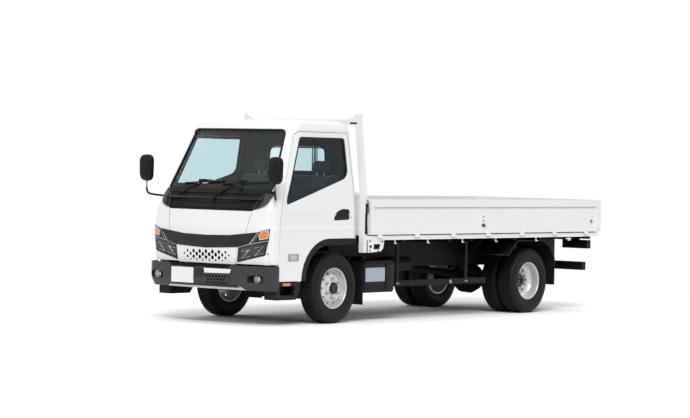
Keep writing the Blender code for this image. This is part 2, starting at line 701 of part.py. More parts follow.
def build_engine():
    half = RAIL_X - RAIL_FLANGE - SEAT
    block = [(-0.400, 0.500), (-0.340, 0.400), (0.320, 0.400), (0.370, 0.460), (0.420, 0.460),
             (0.420, 0.780), (0.330, 0.825), (-0.340, 0.825), (-0.400, 0.760)]
    engine = bevel(prism(block, "x", -0.230, 0.230), 0.02, 1, 60)
    join(engine, box((-half, 0.020, 0.600), (half, 0.140, 0.680)))
    join(engine, round_loft(((0.400, 0.590, 0.175), (0.640, 0.590, 0.150),
                             (1.120, 0.590, 0.105), (GEARBOX_END, 0.590, 0.060))))
    finish("engine", engine, ((0.09, 0.09, 0.10), 0.6, 0.5))
    shaft = round_loft(((GEARBOX_END + SEAT, 0.590, 0.036),
                        (WHEELBASE - AXLE_NOSE - SEAT, 0.400, 0.036)))
    finish("driveshaft", shaft, DARK_STEEL)


def leaf_spring(centre_y, reach, seat_z):
    """One bowed pack under the left rail, with its hangers."""
    low, high = RAIL_X - 0.062, RAIL_X - 0.002
    top = RAIL_BOTTOM - SEAT
    pack = [(centre_y - reach, top), (centre_y - reach, 0.470),
            (centre_y - reach * 0.5, seat_z + 0.022), (centre_y - 0.10, seat_z),
            (centre_y + 0.10, seat_z), (centre_y + reach * 0.5, seat_z + 0.022),
            (centre_y + reach, 0.470), (centre_y + reach, top),
            (centre_y + reach - 0.05, top), (centre_y + reach - 0.06, 0.490),
            (centre_y + reach * 0.5, seat_z + 0.055), (centre_y, seat_z + 0.050),
            (centre_y - reach * 0.5, seat_z + 0.055), (centre_y - reach + 0.06, 0.490),
            (centre_y - reach + 0.05, top)]
    return prism(pack, "x", low, high)


def build_front_axle():
    """Dropped beam with its springs; the ends carry the kingpins."""
    half = [(0.0, 0.225), (0.330, 0.225), (0.470, 0.300), (KINGPIN_X, 0.310),
            (KINGPIN_X, 0.390), (0.455, 0.385), (0.380, 0.345), (0.280, 0.345), (0.0, 0.290)]
    beam = prism(both_sides(half), "y", -0.035, 0.035)
    for side in (-1, 1):
        join(beam, turned([(0.306, 0), (0.306, 0.030), (0.394, 0.030), (0.394, 0)], 14,
                          (side * KINGPIN_X, 0, 0), "z"))
        spring = leaf_spring(0.0, 0.560, 0.340)
        join(beam, spring if side > 0 else swap(spring))
    finish("front_axle", beam, DARK_STEEL)


def swap(obj):
    """Replace a solid by its mirror image."""
    twin = mirrored(obj)
    bpy.data.objects.remove(obj)
    return twin


def build_knuckles():
    """Fork round the beam's end with the stub that carries the hub."""
    outline = [(0.560, 0.3945), (0.560, 0.435), (0.660, 0.435), (0.660, 0.265), (0.560, 0.265),
               (0.560, 0.3055), (0.626, 0.3055), (0.626, 0.3945)]
    fork = prism(outline, "y", -0.032, 0.032)
    stub = rod((0.650, 0, TYRE_RADIUS), (0.692, 0, TYRE_RADIUS), 0.030, 16)
    join(fork, stub)
    pair("knuckle", fork, DARK_STEEL, pivot=(KINGPIN_X, 0, TYRE_RADIUS))


def build_rear_axle():
    y, z = WHEELBASE, TYRE_RADIUS
    axle = turned([(-0.440, 0), (-0.440, 0.075), (-0.420, 0.075), (-0.415, 0.052),
                   (-0.230, 0.058), (-0.150, 0.120), (-0.085, 0.165), (0.030, 0.172),
                   (0.110, 0.130), (0.200, 0.062), (0.415, 0.052), (0.420, 0.075),
                   (0.440, 0.075), (0.440, 0)], 20, (0, y, z))
    join(axle, round_loft(((y - AXLE_NOSE, 0.400, 0.050), (y - 0.180, 0.385, 0.070),
                           (y - 0.100, 0.370, 0.110))))
    for side in (-1, 1):
        spring = leaf_spring(y, 0.580, 0.395)
        join(axle, spring if side > 0 else swap(spring))
    finish("rear_axle", axle, DARK_STEEL)


def build_tanks():
    inner = RAIL_X + SEAT
    tank = bevel(box((-0.735, 1.080, 0.350), (-0.400, 1.840, 0.640)), 0.035, 2)
    join(tank, box((-0.450, 1.200, 0.560), (-inner, 1.260, 0.640)),
         box((-0.450, 1.660, 0.560), (-inner, 1.720, 0.640)))
    finish("fuel_tank", tank, DARK_STEEL)
    tray = bevel(box((0.420, 0.500, 0.290), (0.760, 0.980, 0.600)), 0.012, 1)
    join(tray, box((inner, 0.600, 0.560), (0.450, 0.660, 0.640)),
         box((inner, 0.840, 0.560), (0.450, 0.900, 0.640)))
    finish("battery_box", tray, BLACK)
    muffler = turned([(1.980, 0), (1.980, 0.075), (2.010, 0.095), (2.560, 0.095),
                      (2.590, 0.075), (2.590, 0)], 16, (-0.490, 0, 0.490), "y")
    join(muffler, box((-0.490, 2.240, 0.560), (-inner, 2.290, 0.620)))
    finish("muffler", muffler, DARK_STEEL)
    air = turned([(1.150, 0), (1.150, 0.045), (1.175, 0.075), (1.570, 0.075), (1.595, 0.045),
                  (1.595, 0)], 14, (0.470, 0, 0.560), "y")
    join(air, box((inner, 1.240, 0.570), (0.450, 1.270, 0.620)),
         box((inner, 1.480, 0.570), (0.450, 1.510, 0.620)))
    finish("air_tank", air, DARK_STEEL)


# Wheels

def tyre_profile(centre, width):
    """Closed (along, radius) loop of one tyre."""
    half = width / 2
    bead = RIM_RADIUS - 0.018 + 2 * SEAT
    tread = TYRE_RADIUS / math.cos(math.pi / WHEEL_SIDES)
    return [(centre - half + 0.022, bead), (centre - half, bead + 0.055),
            (centre - half + 0.010, tread - 0.022), (centre - half + 0.032, tread),
            (centre + half - 0.032, tread), (centre + half - 0.010, tread - 0.022),
            (centre + half, bead + 0.055), (centre + half - 0.022, bead)]


def front_rim_profile():
    """Rim, convex disc and hub as one turned section."""
    c, half = FRONT_TYRE_X, TYRE_WIDTH / 2 - 0.023
    bed = RIM_RADIUS - 0.018
    return [(c + SEAT, 0), (c + SEAT, 0.050), (c + 0.030, 0.085), (c + 0.018, 0.150),
            (c - half, 0.186), (c - half, bed), (c + half + 0.004, bed),
            (c + half + 0.004, 0.192), (c + 0.012, 0.186), (c + 0.036, 0.158),
            (c + 0.052, 0.118), (c + 0.050, 0.078), (c + 0.078, 0.072), (c + 0.078, 0)]


def rear_rim_profile():
    """Two rims back to back: the outer one is a deep dish, with the hub between."""
    half = TYRE_WIDTH / 2 - 0.023
    bed = RIM_RADIUS - 0.018
    a, b = REAR_INNER_X, REAR_OUTER_X
    disc = (a + b) / 2
    return [(0.4403, 0), (0.4403, 0.070), (disc - 0.030, 0.100), (a - half, 0.186),
            (a - half, bed), (a + half, bed), (disc, 0.190), (b - half, bed),
            (b + half + 0.004, bed), (b + half + 0.004, 0.192), (b - 0.020, 0.186),
            (disc + 0.018, 0.150), (disc + 0.018, 0.085), (disc + 0.075, 0.078),
            (disc + 0.085, 0.060), (disc + 0.085, 0)]


def hand_holes(rim, centre, ring, size, count, low, high):
    cutters = []
    for k in range(count):
        angle = 2 * math.pi * (k + 0.5) / count
        y = centre[1] + ring * math.cos(angle)
        z = centre[2] + ring * math.sin(angle)
        cutters.append(rod((low, y, z), (high, y, z), size, 8))
    return cut(rim, *cutters)


def build_wheels():
    front = (0, 0, TYRE_RADIUS)
    rear = (0, WHEELBASE, TYRE_RADIUS)
    rim = turned(front_rim_profile(), WHEEL_SIDES, front)
    hand_holes(rim, front, 0.146, 0.016, 8, FRONT_TYRE_X - 0.03, FRONT_TYRE_X + 0.10)
    pair("front_wheel", rim, SILVER, pivot=(FRONT_TYRE_X, 0, TYRE_RADIUS))
    tyre = turned(tyre_profile(FRONT_TYRE_X, TYRE_WIDTH), WHEEL_SIDES, front)
    pair("front_tyre", tyre, RUBBER, pivot=(FRONT_TYRE_X, 0, TYRE_RADIUS))
    rim = turned(rear_rim_profile(), WHEEL_SIDES, rear)
    hand_holes(rim, rear, 0.118, 0.020, 6, 0.55, 0.69)
    pair("rear_wheel", rim, SILVER, pivot=(REAR_OUTER_X, WHEELBASE, TYRE_RADIUS))
    for name, x in (("rear_outer_tyre", REAR_OUTER_X), ("rear_inner_tyre", REAR_INNER_X)):
        tyre = turned(tyre_profile(x, TYRE_WIDTH), WHEEL_SIDES, rear)
        pair(name, tyre, RUBBER, pivot=(x, WHEELBASE, TYRE_RADIUS))


# Deck

HINGES_SIDE = (0.560, 1.180, 1.800, 2.420, 3.040, 3.660, 4.280)
HINGES_TAIL = (-0.660, -0.220, 0.220, 0.660)
KNUCKLE = 0.030           # half length of a gate's own knuckle
HOOKS = (0.850, 1.400, 2.000, 2.600, 3.350, 3.980)
SILLS = (0.460, 1.030, 1.430, 1.820, 2.210, 2.600, 3.000, 3.480, 3.960, 4.440)


def build_deck():
    top = FLOOR_TOP - DECK_FLOOR_THICK
    floor = box((-DECK_HALF, DECK_FRONT, top), (DECK_HALF, DECK_REAR, FLOOR_TOP))
    finish("deck_floor", floor, TIMBER)
    sill_top = top - SEAT
    cross_bottom = 0.800
    frame = box((RAIL_X - 0.060, DECK_FRONT + 0.02, RAIL_TOP + SEAT),
                (RAIL_X, RAIL_REAR, sill_top - 0.01))
    join(frame, box((-RAIL_X, DECK_FRONT + 0.02, RAIL_TOP + SEAT),
                    (-RAIL_X + 0.060, RAIL_REAR, sill_top - 0.01)))
    inner = RIM_X - 0.045 - SEAT
    for y in SILLS:
        join(frame, box((-inner, y - 0.022, cross_bottom), (inner, y + 0.022, sill_top)))
    finish("deck_frame", frame, DARK_STEEL)
    build_rim()


def build_rim():
    """White rail round three sides, with hinge knuckles, hooks and corner plates."""
    low, inner, rear = RIM_BOTTOM, RIM_X - 0.045, TAIL_OUT - 0.015
    rim = box((inner, DECK_FRONT, low), (RIM_X, rear, RIM_TOP))
    join(rim, box((-RIM_X, DECK_FRONT, low), (-inner, rear, RIM_TOP)))
    join(rim, box((-RIM_X + 0.001, DECK_REAR - 0.030, low + 0.0005),
                  (RIM_X - 0.001, rear - 0.0005, RIM_TOP - 0.0005)))
    pin = GATE_OUT + HINGE_OUT
    for side in (-1, 1):
        for y in HINGES_SIDE:
            a, b = y + KNUCKLE + 0.001, y + KNUCKLE + 0.022
            knob = rod((side * pin, a, HINGE_Z), (side * pin, b, HINGE_Z), HINGE_RADIUS, 8)
            lug = [(side * (RIM_X - 0.01), HINGE_Z - 0.006), (side * pin, HINGE_Z - 0.006),
                   (side * pin, HINGE_Z + 0.004), (side * (RIM_X - 0.01), HINGE_Z + 0.004)]
            join(rim, knob, prism(lug, "y", a + 0.001, b - 0.001))
        for y in HOOKS:
            x = side * (RIM_X - 0.020)
            hook = [(x, low + 0.01), (x, 0.788), (x + side * 0.028, 0.788),
                    (x + side * 0.028, 0.798), (x + side * 0.010, 0.798), (x + side * 0.010, low + 0.01)]
            join(rim, prism(hook, "y", y - 0.005, y + 0.005))
        front = DECK_FRONT + 0.001
        plate = [(front, 0.705), (0.600, 0.715), (0.640, 0.745), (0.660, 0.835), (front, 0.835)]
        corner = prism(plate, "x", side * (RIM_X - 0.010), side * (RIM_X - 0.001))
        cut(corner, prism([(0.490, 0.735), (0.590, 0.740), (0.602, 0.790), (0.490, 0.790)],
                          "x", side * 0.8, side * 1.0),
            rod((side * 0.8, 0.448, 0.762), (side * 1.0, 0.448, 0.762), 0.018, 12))
        join(rim, corner)
    pin_y = TAIL_OUT + HINGE_OUT
    for x in HINGES_TAIL:
        a, b = x + KNUCKLE + 0.001, x + KNUCKLE + 0.022
        knob = rod((a, pin_y, HINGE_Z), (b, pin_y, HINGE_Z), HINGE_RADIUS, 8)
        join(rim, knob, box((a + 0.001, rear - 0.01, HINGE_Z - 0.006),
                            (b - 0.001, pin_y, HINGE_Z + 0.004)))
    finish("deck_rim", rim, WHITE)


def build_headboard():
    """Open frame behind the cab: posts that lean in, a lower panel and a top bar."""
    low, high = HEAD_FRONT, HEAD_FRONT + HEAD_DEPTH
    out, inside, lean = HEAD_HALF, HEAD_HALF - 0.060, 0.080
    bar = HEAD_TOP - 0.060
    post = [(inside, 0.705), (out, 0.705), (out, 1.250), (out - 0.098, HEAD_TOP + 0.060),
            (out - 0.115, HEAD_TOP + 0.060), (inside - 2 * lean, HEAD_TOP),
            (inside - 2 * lean, bar), (inside - lean, bar), (inside, 1.250)]
    board = prism(post, "y", low, high)
    join(board, prism([(-x, z) for x, z in post], "y", low, high))
    middle = low + 0.010
    deep = inside + 0.010
    join(board, box((lean - inside, low + 0.001, bar + 0.005),
                    (inside - lean, high - 0.001, HEAD_TOP)))
    join(board, box((-deep, middle, RIM_TOP + 0.002), (deep, high - 0.012, 1.300)))
    join(board, box((-deep, low + 0.0005, 1.270), (deep, high - 0.0005, 1.310)))
    for x in (-0.190, 0.190):
        join(board, box((x - 0.015, middle, 1.290), (x + 0.015, high - 0.012, HEAD_TOP - 0.040)))
    finish("headboard", board, WHITE)


def gate_panel(length_low, length_high):
    """One gate lying in its own plane: outline along the hinge and up, with its recess."""
    corner = 0.050
    outline = [(length_low, GATE_BOTTOM), (length_high - corner, GATE_BOTTOM)]
    outline += arc((length_high - corner, GATE_BOTTOM + corner), corner, -90, 0, 3)[1:]
    outline += [(length_high, GATE_TOP), (length_low, GATE_TOP)]
    recess = rounded([(length_low + 0.055, GATE_BOTTOM + 0.045),
                      (length_high - 0.055, GATE_BOTTOM + 0.045),
                      (length_high - 0.055, GATE_TOP - 0.085),
                      (length_low + 0.055, GATE_TOP - 0.085)], 0.02)
    return outline, recess


def build_gates():
    pin = GATE_OUT + HINGE_OUT
    outline, recess = gate_panel(GATE_FRONT, DECK_REAR)
    gate = prism(outline, "x", GATE_OUT - GATE_THICK, GATE_OUT)
    cut(gate, prism(recess, "x", GATE_OUT - 0.010, GATE_OUT + 0.05))
    for y in HINGES_SIDE:
        join(gate, rod((pin, y - KNUCKLE, HINGE_Z), (pin, y + KNUCKLE, HINGE_Z), HINGE_RADIUS, 8),
             box((GATE_OUT - 0.008, y - KNUCKLE + 0.001, HINGE_Z - 0.004),
                 (pin, y + KNUCKLE - 0.001, GATE_BOTTOM + 0.020)))
    latch_y = 2.330
    join(gate, box((GATE_OUT - 0.015, latch_y - 0.050, GATE_BOTTOM + 0.010),
                   (GATE_OUT - 0.001, latch_y + 0.050, GATE_BOTTOM + 0.200)))
    pair("side_gate", gate, WHITE, pivot=(pin, latch_y, HINGE_Z))
    half = GATE_OUT - 0.002
    pin_y = TAIL_OUT + HINGE_OUT
    tail_low = DECK_REAR + SEAM
    panel = box((-half, tail_low, GATE_BOTTOM), (half, TAIL_OUT, GATE_TOP))
    cut(panel, box((-half + 0.055, TAIL_OUT - 0.010, GATE_BOTTOM + 0.045),
                   (half - 0.055, TAIL_OUT + 0.05, GATE_TOP - 0.085)))
    for x in HINGES_TAIL:
        join(panel, rod((x - KNUCKLE, pin_y, HINGE_Z), (x + KNUCKLE, pin_y, HINGE_Z),
                        HINGE_RADIUS, 8),
             box((x - KNUCKLE + 0.001, TAIL_OUT - 0.008, HINGE_Z - 0.004),
                 (x + KNUCKLE - 0.001, pin_y, GATE_BOTTOM + 0.020)))
    finish("tail_gate", panel, WHITE, pivot=(0, pin_y, HINGE_Z))


def build_fenders():
    """Rear mudguards: a flat front plate, an arch over the tyres and a flap behind."""
    y0 = WHEELBASE
    outer = [(2.620, 0.655), (2.870, 0.648), (2.960, 0.740), (3.030, 0.7985), (3.520, 0.7985),
             (3.640, 0.740), (3.745, 0.600)]
    inner = [(3.735, 0.590), (3.632, 0.730), (3.515, 0.788), (3.035, 0.788), (2.968, 0.730),
             (2.880, 0.638), (2.620, 0.645)]
    fender = prism(outer + inner, "x", 0.400, 0.850)
    flap = box((0.400, 3.735, 0.300), (0.850, 3.745, 0.610))
    join(fender, flap)
    join(fender, box((RAIL_X + SEAT, y0 - 0.100, 0.700), (0.420, y0 - 0.060, 0.795)))
    join(fender, box((0.400, y0 - 0.100, 0.770), (0.500, y0 - 0.060, 0.7985)))
    pair("rear_fender", fender, BLACK)
    guard = box((0.560, 0.430, 0.175), (0.790, 0.440, 0.600))
    join(guard, box((RAIL_X + SEAT, 0.430, 0.560), (0.600, 0.440, 0.640)))
    pair("front_mud_flap", guard, BLACK)


def build_side_guards():
    for side in (1, -1):
        rail = box((0.745, 0.990, 0.345), (0.770, 2.560, 0.405))
        for y in (SILLS[1], SILLS[4]):
            join(rail, box((0.748, y - 0.020, 0.380), (0.767, y + 0.020, 0.800 - SEAT)))
        name = "side_guard_left" if side > 0 else "side_guard_right"
        finish(name, rail if side > 0 else swap(rail), DARK_STEEL)


def build_rear_lamps():
    y = SILLS[-1]
    lamp = bevel(box((0.480, y - 0.020, 0.690), (0.820, y + 0.060, 0.785)), 0.006, 1)
    join(lamp, box((0.600, y - 0.015, 0.780), (0.700, y + 0.015, 0.800 - SEAT)))
    pair("rear_lamp", lamp, RED_LAMP)


def build_truck():
    clear_scene()
    truck = bpy.data.objects.new("truck", None)
    truck.location = (0, -(FRONT_END + REAR_END) / 2, 0)
    bpy.context.scene.collection.objects.link(truck)
    build_frame()
    build_engine()
    build_front_axle()
    build_rear_axle()
    build_knuckles()
    build_wheels()
    build_tanks()
    build_side_guards()
    build_deck()
    build_headboard()
    build_gates()
    build_fenders()
    build_rear_lamps()
    build_bumper()
    build_steps()
    build_cab()
    build_doors()
    build_flares()
    build_mirrors()
    build_interior()


build_truck()
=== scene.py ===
"""Looks of the light flatbed truck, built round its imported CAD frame.

Lengths are metres. Widths are from the middle and heights from the ground, as in the frame.
A distance along the truck is counted rearwards from the front axle, as in the part's source;
along() turns it into the frame's y.
"""
import math

import bmesh
import bpy
from mathutils import Matrix, Vector
from mathutils.bvhtree import BVHTree


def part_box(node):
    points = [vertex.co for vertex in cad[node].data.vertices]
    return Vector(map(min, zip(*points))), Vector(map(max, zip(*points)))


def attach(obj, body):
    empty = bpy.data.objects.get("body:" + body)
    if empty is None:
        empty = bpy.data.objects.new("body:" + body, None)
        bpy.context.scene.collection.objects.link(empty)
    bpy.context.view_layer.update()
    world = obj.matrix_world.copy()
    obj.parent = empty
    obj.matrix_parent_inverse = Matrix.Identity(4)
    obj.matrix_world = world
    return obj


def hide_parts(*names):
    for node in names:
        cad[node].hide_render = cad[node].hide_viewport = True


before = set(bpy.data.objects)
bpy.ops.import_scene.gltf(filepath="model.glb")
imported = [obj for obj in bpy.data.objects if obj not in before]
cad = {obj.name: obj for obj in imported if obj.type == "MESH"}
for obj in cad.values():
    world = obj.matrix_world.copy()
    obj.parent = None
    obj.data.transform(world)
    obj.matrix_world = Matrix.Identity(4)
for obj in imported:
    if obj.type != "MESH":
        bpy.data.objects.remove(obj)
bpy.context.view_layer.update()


def middle(node):
    """The middle of a CAD node's box."""
    low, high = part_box(node)
    return (low + high) / 2


FRONT_AXLE_Y = middle("front_tyre_left").y
REAR_AXLE = middle("rear_outer_tyre_left").y - FRONT_AXLE_Y
AXLE_Z = middle("front_tyre_left").z
TYRE_RADIUS = AXLE_Z
SIDES = ((1, "left"), (-1, "right"))


def along(y):
    return y + FRONT_AXLE_Y


def spot(x, y, z):
    return Vector((x, along(y), z))


# Shader effects that several materials share

def shader_group(name, inputs, outputs):
    """An empty node group with named sockets, and its two ends."""
    tree = bpy.data.node_groups.new(name, "ShaderNodeTree")
    for label, value in inputs.items():
        socket = tree.interface.new_socket(label, in_out="INPUT", socket_type="NodeSocketFloat")
        socket.default_value = value
    for label in outputs:
        tree.interface.new_socket(label, in_out="OUTPUT", socket_type="NodeSocketFloat")
    return tree, tree.nodes.new("NodeGroupInput"), tree.nodes.new("NodeGroupOutput")


def feed(tree, socket, value):
    """Link an output to the socket, or write a plain value on it."""
    if isinstance(value, bpy.types.NodeSocket):
        tree.links.new(value, socket)
    elif value is not None:
        socket.default_value = value


def maths(tree, operation, first, second=None):
    """A Math node between numbers or outputs."""
    node = tree.nodes.new("ShaderNodeMath")
    node.operation = operation
    feed(tree, node.inputs[0], first)
    feed(tree, node.inputs[1], second)
    return node.outputs[0]


def mapped(tree, value, from_low, from_high, to_low=0.0, to_high=1.0):
    """A Map Range node between numbers or outputs."""
    node = tree.nodes.new("ShaderNodeMapRange")
    for socket, given in zip(node.inputs, (value, from_low, from_high, to_low, to_high)):
        feed(tree, socket, given)
    return node.outputs[0]


def noise(tree, vector, scale, detail=4.0, roughness=0.55):
    node = tree.nodes.new("ShaderNodeTexNoise")
    for label, value in (("Vector", vector), ("Scale", scale), ("Detail", detail),
                         ("Roughness", roughness)):
        feed(tree, node.inputs[label], value)
    return node.outputs[0]


def object_coordinates(tree):
    return tree.nodes.new("ShaderNodeTexCoord").outputs["Object"]


def uneven_tone_group():
    """Broad and fine cloudiness mixed to one value from 0 to 1."""
    tree, start, end = shader_group("uneven_tone", {"Scale": 2.0}, ("Tone",))
    place = object_coordinates(tree)
    broad = noise(tree, place, start.outputs["Scale"], 3.0)
    fine = noise(tree, place, maths(tree, "MULTIPLY", start.outputs["Scale"], 7.0), 5.0)
    mixed = maths(tree, "ADD", maths(tree, "MULTIPLY", broad, 0.65),
                  maths(tree, "MULTIPLY", fine, 0.35))
    tree.links.new(mapped(tree, mixed, 0.3, 0.7), end.inputs["Tone"])
    return tree


def road_dust_group():
    """Dust that thins out upwards, broken up by noise."""
    tree, start, end = shader_group("road_dust", {"Reach": 0.6, "Amount": 0.3}, ("Mask",))
    place = object_coordinates(tree)
    split = tree.nodes.new("ShaderNodeSeparateXYZ")
    tree.links.new(place, split.inputs[0])
    height = mapped(tree, split.outputs["Z"], 0.0, start.outputs["Reach"], 1.0, 0.0)
    broken = mapped(tree, noise(tree, place, 9.0, 6.0, 0.65), 0.35, 0.75)
    share = maths(tree, "MULTIPLY", height, maths(tree, "ADD", broken, 0.25))
    tree.links.new(maths(tree, "MULTIPLY", share, start.outputs["Amount"]), end.inputs["Mask"])
    return tree


def fine_grain_group():
    """Leathery moulding grain: small cells softened by noise."""
    tree, start, end = shader_group("fine_grain", {"Scale": 700.0}, ("Height",))
    place = object_coordinates(tree)
    cells = tree.nodes.new("ShaderNodeTexVoronoi")
    cells.feature = "SMOOTH_F1"
    tree.links.new(place, cells.inputs["Vector"])
    tree.links.new(start.outputs["Scale"], cells.inputs["Scale"])
    soft = noise(tree, place, maths(tree, "MULTIPLY", start.outputs["Scale"], 0.6), 3.0)
    tree.links.new(maths(tree, "ADD", cells.outputs["Distance"], soft), end.inputs["Height"])
    return tree


def scuff_group():
    """Thin rubbed marks lying along the truck."""
    tree, start, end = shader_group("scuffs", {"Amount": 0.3}, ("Mask",))
    stretch = tree.nodes.new("ShaderNodeMapping")
    stretch.inputs["Scale"].default_value = (30.0, 2.0, 30.0)
    tree.links.new(object_coordinates(tree), stretch.inputs["Vector"])
    lines = mapped(tree, noise(tree, stretch.outputs[0], 1.5, 8.0, 0.7), 0.60, 0.72)
    tree.links.new(maths(tree, "MULTIPLY", lines, start.outputs["Amount"]), end.inputs["Mask"])
    return tree


UNEVEN_TONE = uneven_tone_group()
ROAD_DUST = road_dust_group()
FINE_GRAIN = fine_grain_group()
SCUFFS = scuff_group()
DUST_COLOUR = (0.33, 0.30, 0.26, 1.0)


def use_group(tree, group, **values):
    node = tree.nodes.new("ShaderNodeGroup")
    node.node_tree = group
    for label, value in values.items():
        node.inputs[label].default_value = value
    return node.outputs[0]


# Sockets of a Mix node that mixes colours
COLOUR_A, COLOUR_B, COLOUR_OUT = 6, 7, 2


def mixed_colour(tree, share, first, second):
    """Two colours blended; each is a plain colour or an output."""
    node = tree.nodes.new("ShaderNodeMix")
    node.data_type = "RGBA"
    tree.links.new(share, node.inputs[0])
    feed(tree, node.inputs[COLOUR_A], first)
    feed(tree, node.inputs[COLOUR_B], second)
    return node.outputs[COLOUR_OUT]


def shaded(colour, factor):
    return tuple(min(1.0, c * factor) for c in colour) + (1.0,)


def bumped(tree, shader, height, depth, strength=0.5):
    node = tree.nodes.new("ShaderNodeBump")
    node.inputs["Strength"].default_value = strength
    node.inputs["Distance"].default_value = depth
    tree.links.new(height, node.inputs["Height"])
    tree.links.new(node.outputs[0], shader.inputs["Normal"])


def new_material(name):
    material = bpy.data.materials.new(name)
    material.use_nodes = True
    return material, material.node_tree, material.node_tree.nodes["Principled BSDF"]


def finish(name, colour, roughness, spread=0.05, shade=0.08, tone_scale=2.5, dust=0.2,
           dust_reach=0.8, grain=0.0, grain_depth=0.0002, scuffs=0.0, **plain):
    """A surface with cloudy tone, dust from below, moulding grain and rubbed marks.

    plain holds shader inputs that stay the same all over, such as Metallic.
    """
    material, tree, shader = new_material(name)
    tone = use_group(tree, UNEVEN_TONE, Scale=tone_scale)
    mask = use_group(tree, ROAD_DUST, Reach=dust_reach, Amount=dust)
    base = mixed_colour(tree, tone, shaded(colour, 1 - shade), shaded(colour, 1 + shade))
    rough = mapped(tree, tone, 0.0, 1.0, max(0.02, roughness - spread), roughness + spread)
    if scuffs:
        marks = use_group(tree, SCUFFS, Amount=scuffs)
        base = mixed_colour(tree, marks, base, shaded(colour, 0.55))
        rough = maths(tree, "ADD", rough, maths(tree, "MULTIPLY", marks, 0.3))
    tree.links.new(mixed_colour(tree, mask, base, DUST_COLOUR), shader.inputs["Base Color"])
    tree.links.new(maths(tree, "ADD", rough, maths(tree, "MULTIPLY", mask, 0.35)),
                   shader.inputs["Roughness"])
    if grain:
        bumped(tree, shader, use_group(tree, FINE_GRAIN, Scale=grain), grain_depth)
    for label, value in plain.items():
        shader.inputs[label.replace("_", " ")].default_value = value
    return material


def clear_material(name, colour, roughness, spread, ribs=0.0, **plain):
    """Glass or a lamp cover: wiped smudges in the roughness, and pressed ribs if asked."""
    material, tree, shader = new_material(name)
    shader.inputs["Base Color"].default_value = (*colour, 1.0)
    tone = use_group(tree, UNEVEN_TONE, Scale=3.0)
    tree.links.new(mapped(tree, tone, 0.2, 1.0, roughness, roughness + spread),
                   shader.inputs["Roughness"])
    if ribs:
        wave = tree.nodes.new("ShaderNodeTexWave")
        wave.bands_direction = "Z"
        wave.inputs["Scale"].default_value = ribs
        tree.links.new(object_coordinates(tree), wave.inputs["Vector"])
        bumped(tree, shader, wave.outputs["Fac"], 0.002, 0.6)
    for label, value in plain.items():
        shader.inputs[label.replace("_", " ")].default_value = value
    return material


def cloth_material(name, colour, threads):
    """Two crossed sets of threads, with soft tone and sheen."""
    material, tree, shader = new_material(name)
    place = object_coordinates(tree)
    heights = []
    for direction in ("X", "Z"):
        wave = tree.nodes.new("ShaderNodeTexWave")
        wave.bands_direction = direction
        wave.inputs["Scale"].default_value = threads
        wave.inputs["Distortion"].default_value = 0.6
        tree.links.new(place, wave.inputs["Vector"])
        heights.append(wave.outputs["Fac"])
    weave = maths(tree, "MULTIPLY", heights[0], heights[1])
    tone = use_group(tree, UNEVEN_TONE, Scale=4.0)
    cloudy = mixed_colour(tree, tone, shaded(colour, 0.8), shaded(colour, 1.2))
    tree.links.new(mixed_colour(tree, weave, cloudy, shaded(colour, 1.7)),
                   shader.inputs["Base Color"])
    tree.links.new(mapped(tree, weave, 0.0, 1.0, 0.95, 0.75), shader.inputs["Roughness"])
    bumped(tree, shader, weave, 0.0006, 0.7)
    shader.inputs["Sheen Weight"].default_value = 0.3
    return material


def timber_material(name, light, dark, board):
    """Boards along the truck: stretched rings, and each board with its own tone."""
    material, tree, shader = new_material(name)
    place = object_coordinates(tree)
    stretch = tree.nodes.new("ShaderNodeMapping")
    stretch.inputs["Scale"].default_value = (14.0, 0.9, 14.0)
    tree.links.new(place, stretch.inputs["Vector"])
    rings = noise(tree, stretch.outputs[0], 4.0, 8.0, 0.65)
    split = tree.nodes.new("ShaderNodeSeparateXYZ")
    tree.links.new(place, split.inputs[0])
    number = maths(tree, "FLOOR", maths(tree, "DIVIDE", split.outputs["X"], board))
    dice = tree.nodes.new("ShaderNodeTexWhiteNoise")
    dice.noise_dimensions = "1D"
    tree.links.new(number, dice.inputs["W"])
    own = mapped(tree, dice.outputs["Value"], 0.0, 1.0, -0.2, 0.2)
    share = maths(tree, "ADD", mapped(tree, rings, 0.3, 0.7), own)
    worn = use_group(tree, SCUFFS, Amount=0.6)
    plank = mixed_colour(tree, share, (*dark, 1.0), (*light, 1.0))
    tree.links.new(mixed_colour(tree, worn, plank, shaded(light, 1.4)),
                   shader.inputs["Base Color"])
    tree.links.new(mapped(tree, rings, 0.0, 1.0, 0.62, 0.85), shader.inputs["Roughness"])
    bumped(tree, shader, rings, 0.001, 0.5)
    return material


WHITE_COLOUR = (0.80, 0.805, 0.815)
WHITE_PAINT = finish("white_paint", WHITE_COLOUR, 0.30, 0.04, 0.012, 1.2, 0.10, 0.7, 260,
                     0.00004, Coat_Weight=0.8, Coat_Roughness=0.04, Specular_IOR_Level=0.5)
DECK_PAINT = finish("deck_paint", WHITE_COLOUR, 0.36, 0.05, 0.015, 1.6, 0.10, 0.9, 200,
                    0.00005, scuffs=0.05, Coat_Weight=0.4, Coat_Roughness=0.10)
GRAINED_BLACK = finish("grained_black", (0.0065, 0.0065, 0.008), 0.48, 0.06, 0.2, 4.0, 0.04,
                       0.9, 650, 0.0003, Specular_IOR_Level=0.16)
SATIN_BLACK = finish("satin_black", (0.009, 0.0095, 0.012), 0.24, 0.04, 0.15, 3.0, 0.03, 0.8,
                     500, 0.00005, Specular_IOR_Level=0.30)
BUMPER_GREY = finish("bumper_grey", (0.024, 0.025, 0.028), 0.38, 0.06, 0.12, 3.0, 0.08, 0.8,
                     600, 0.0002, Specular_IOR_Level=0.35)
POD_GREY = finish("pod_grey", (0.045, 0.046, 0.050), 0.30, 0.05, 0.10, 5.0, 0.03, 0.8, 600,
                  0.0002, Specular_IOR_Level=0.40)
TILE_GREY = finish("tile_grey", (0.30, 0.31, 0.32), 0.40, 0.05, 0.10, 5.0, 0.05, 0.8, 600,
                   0.0002)
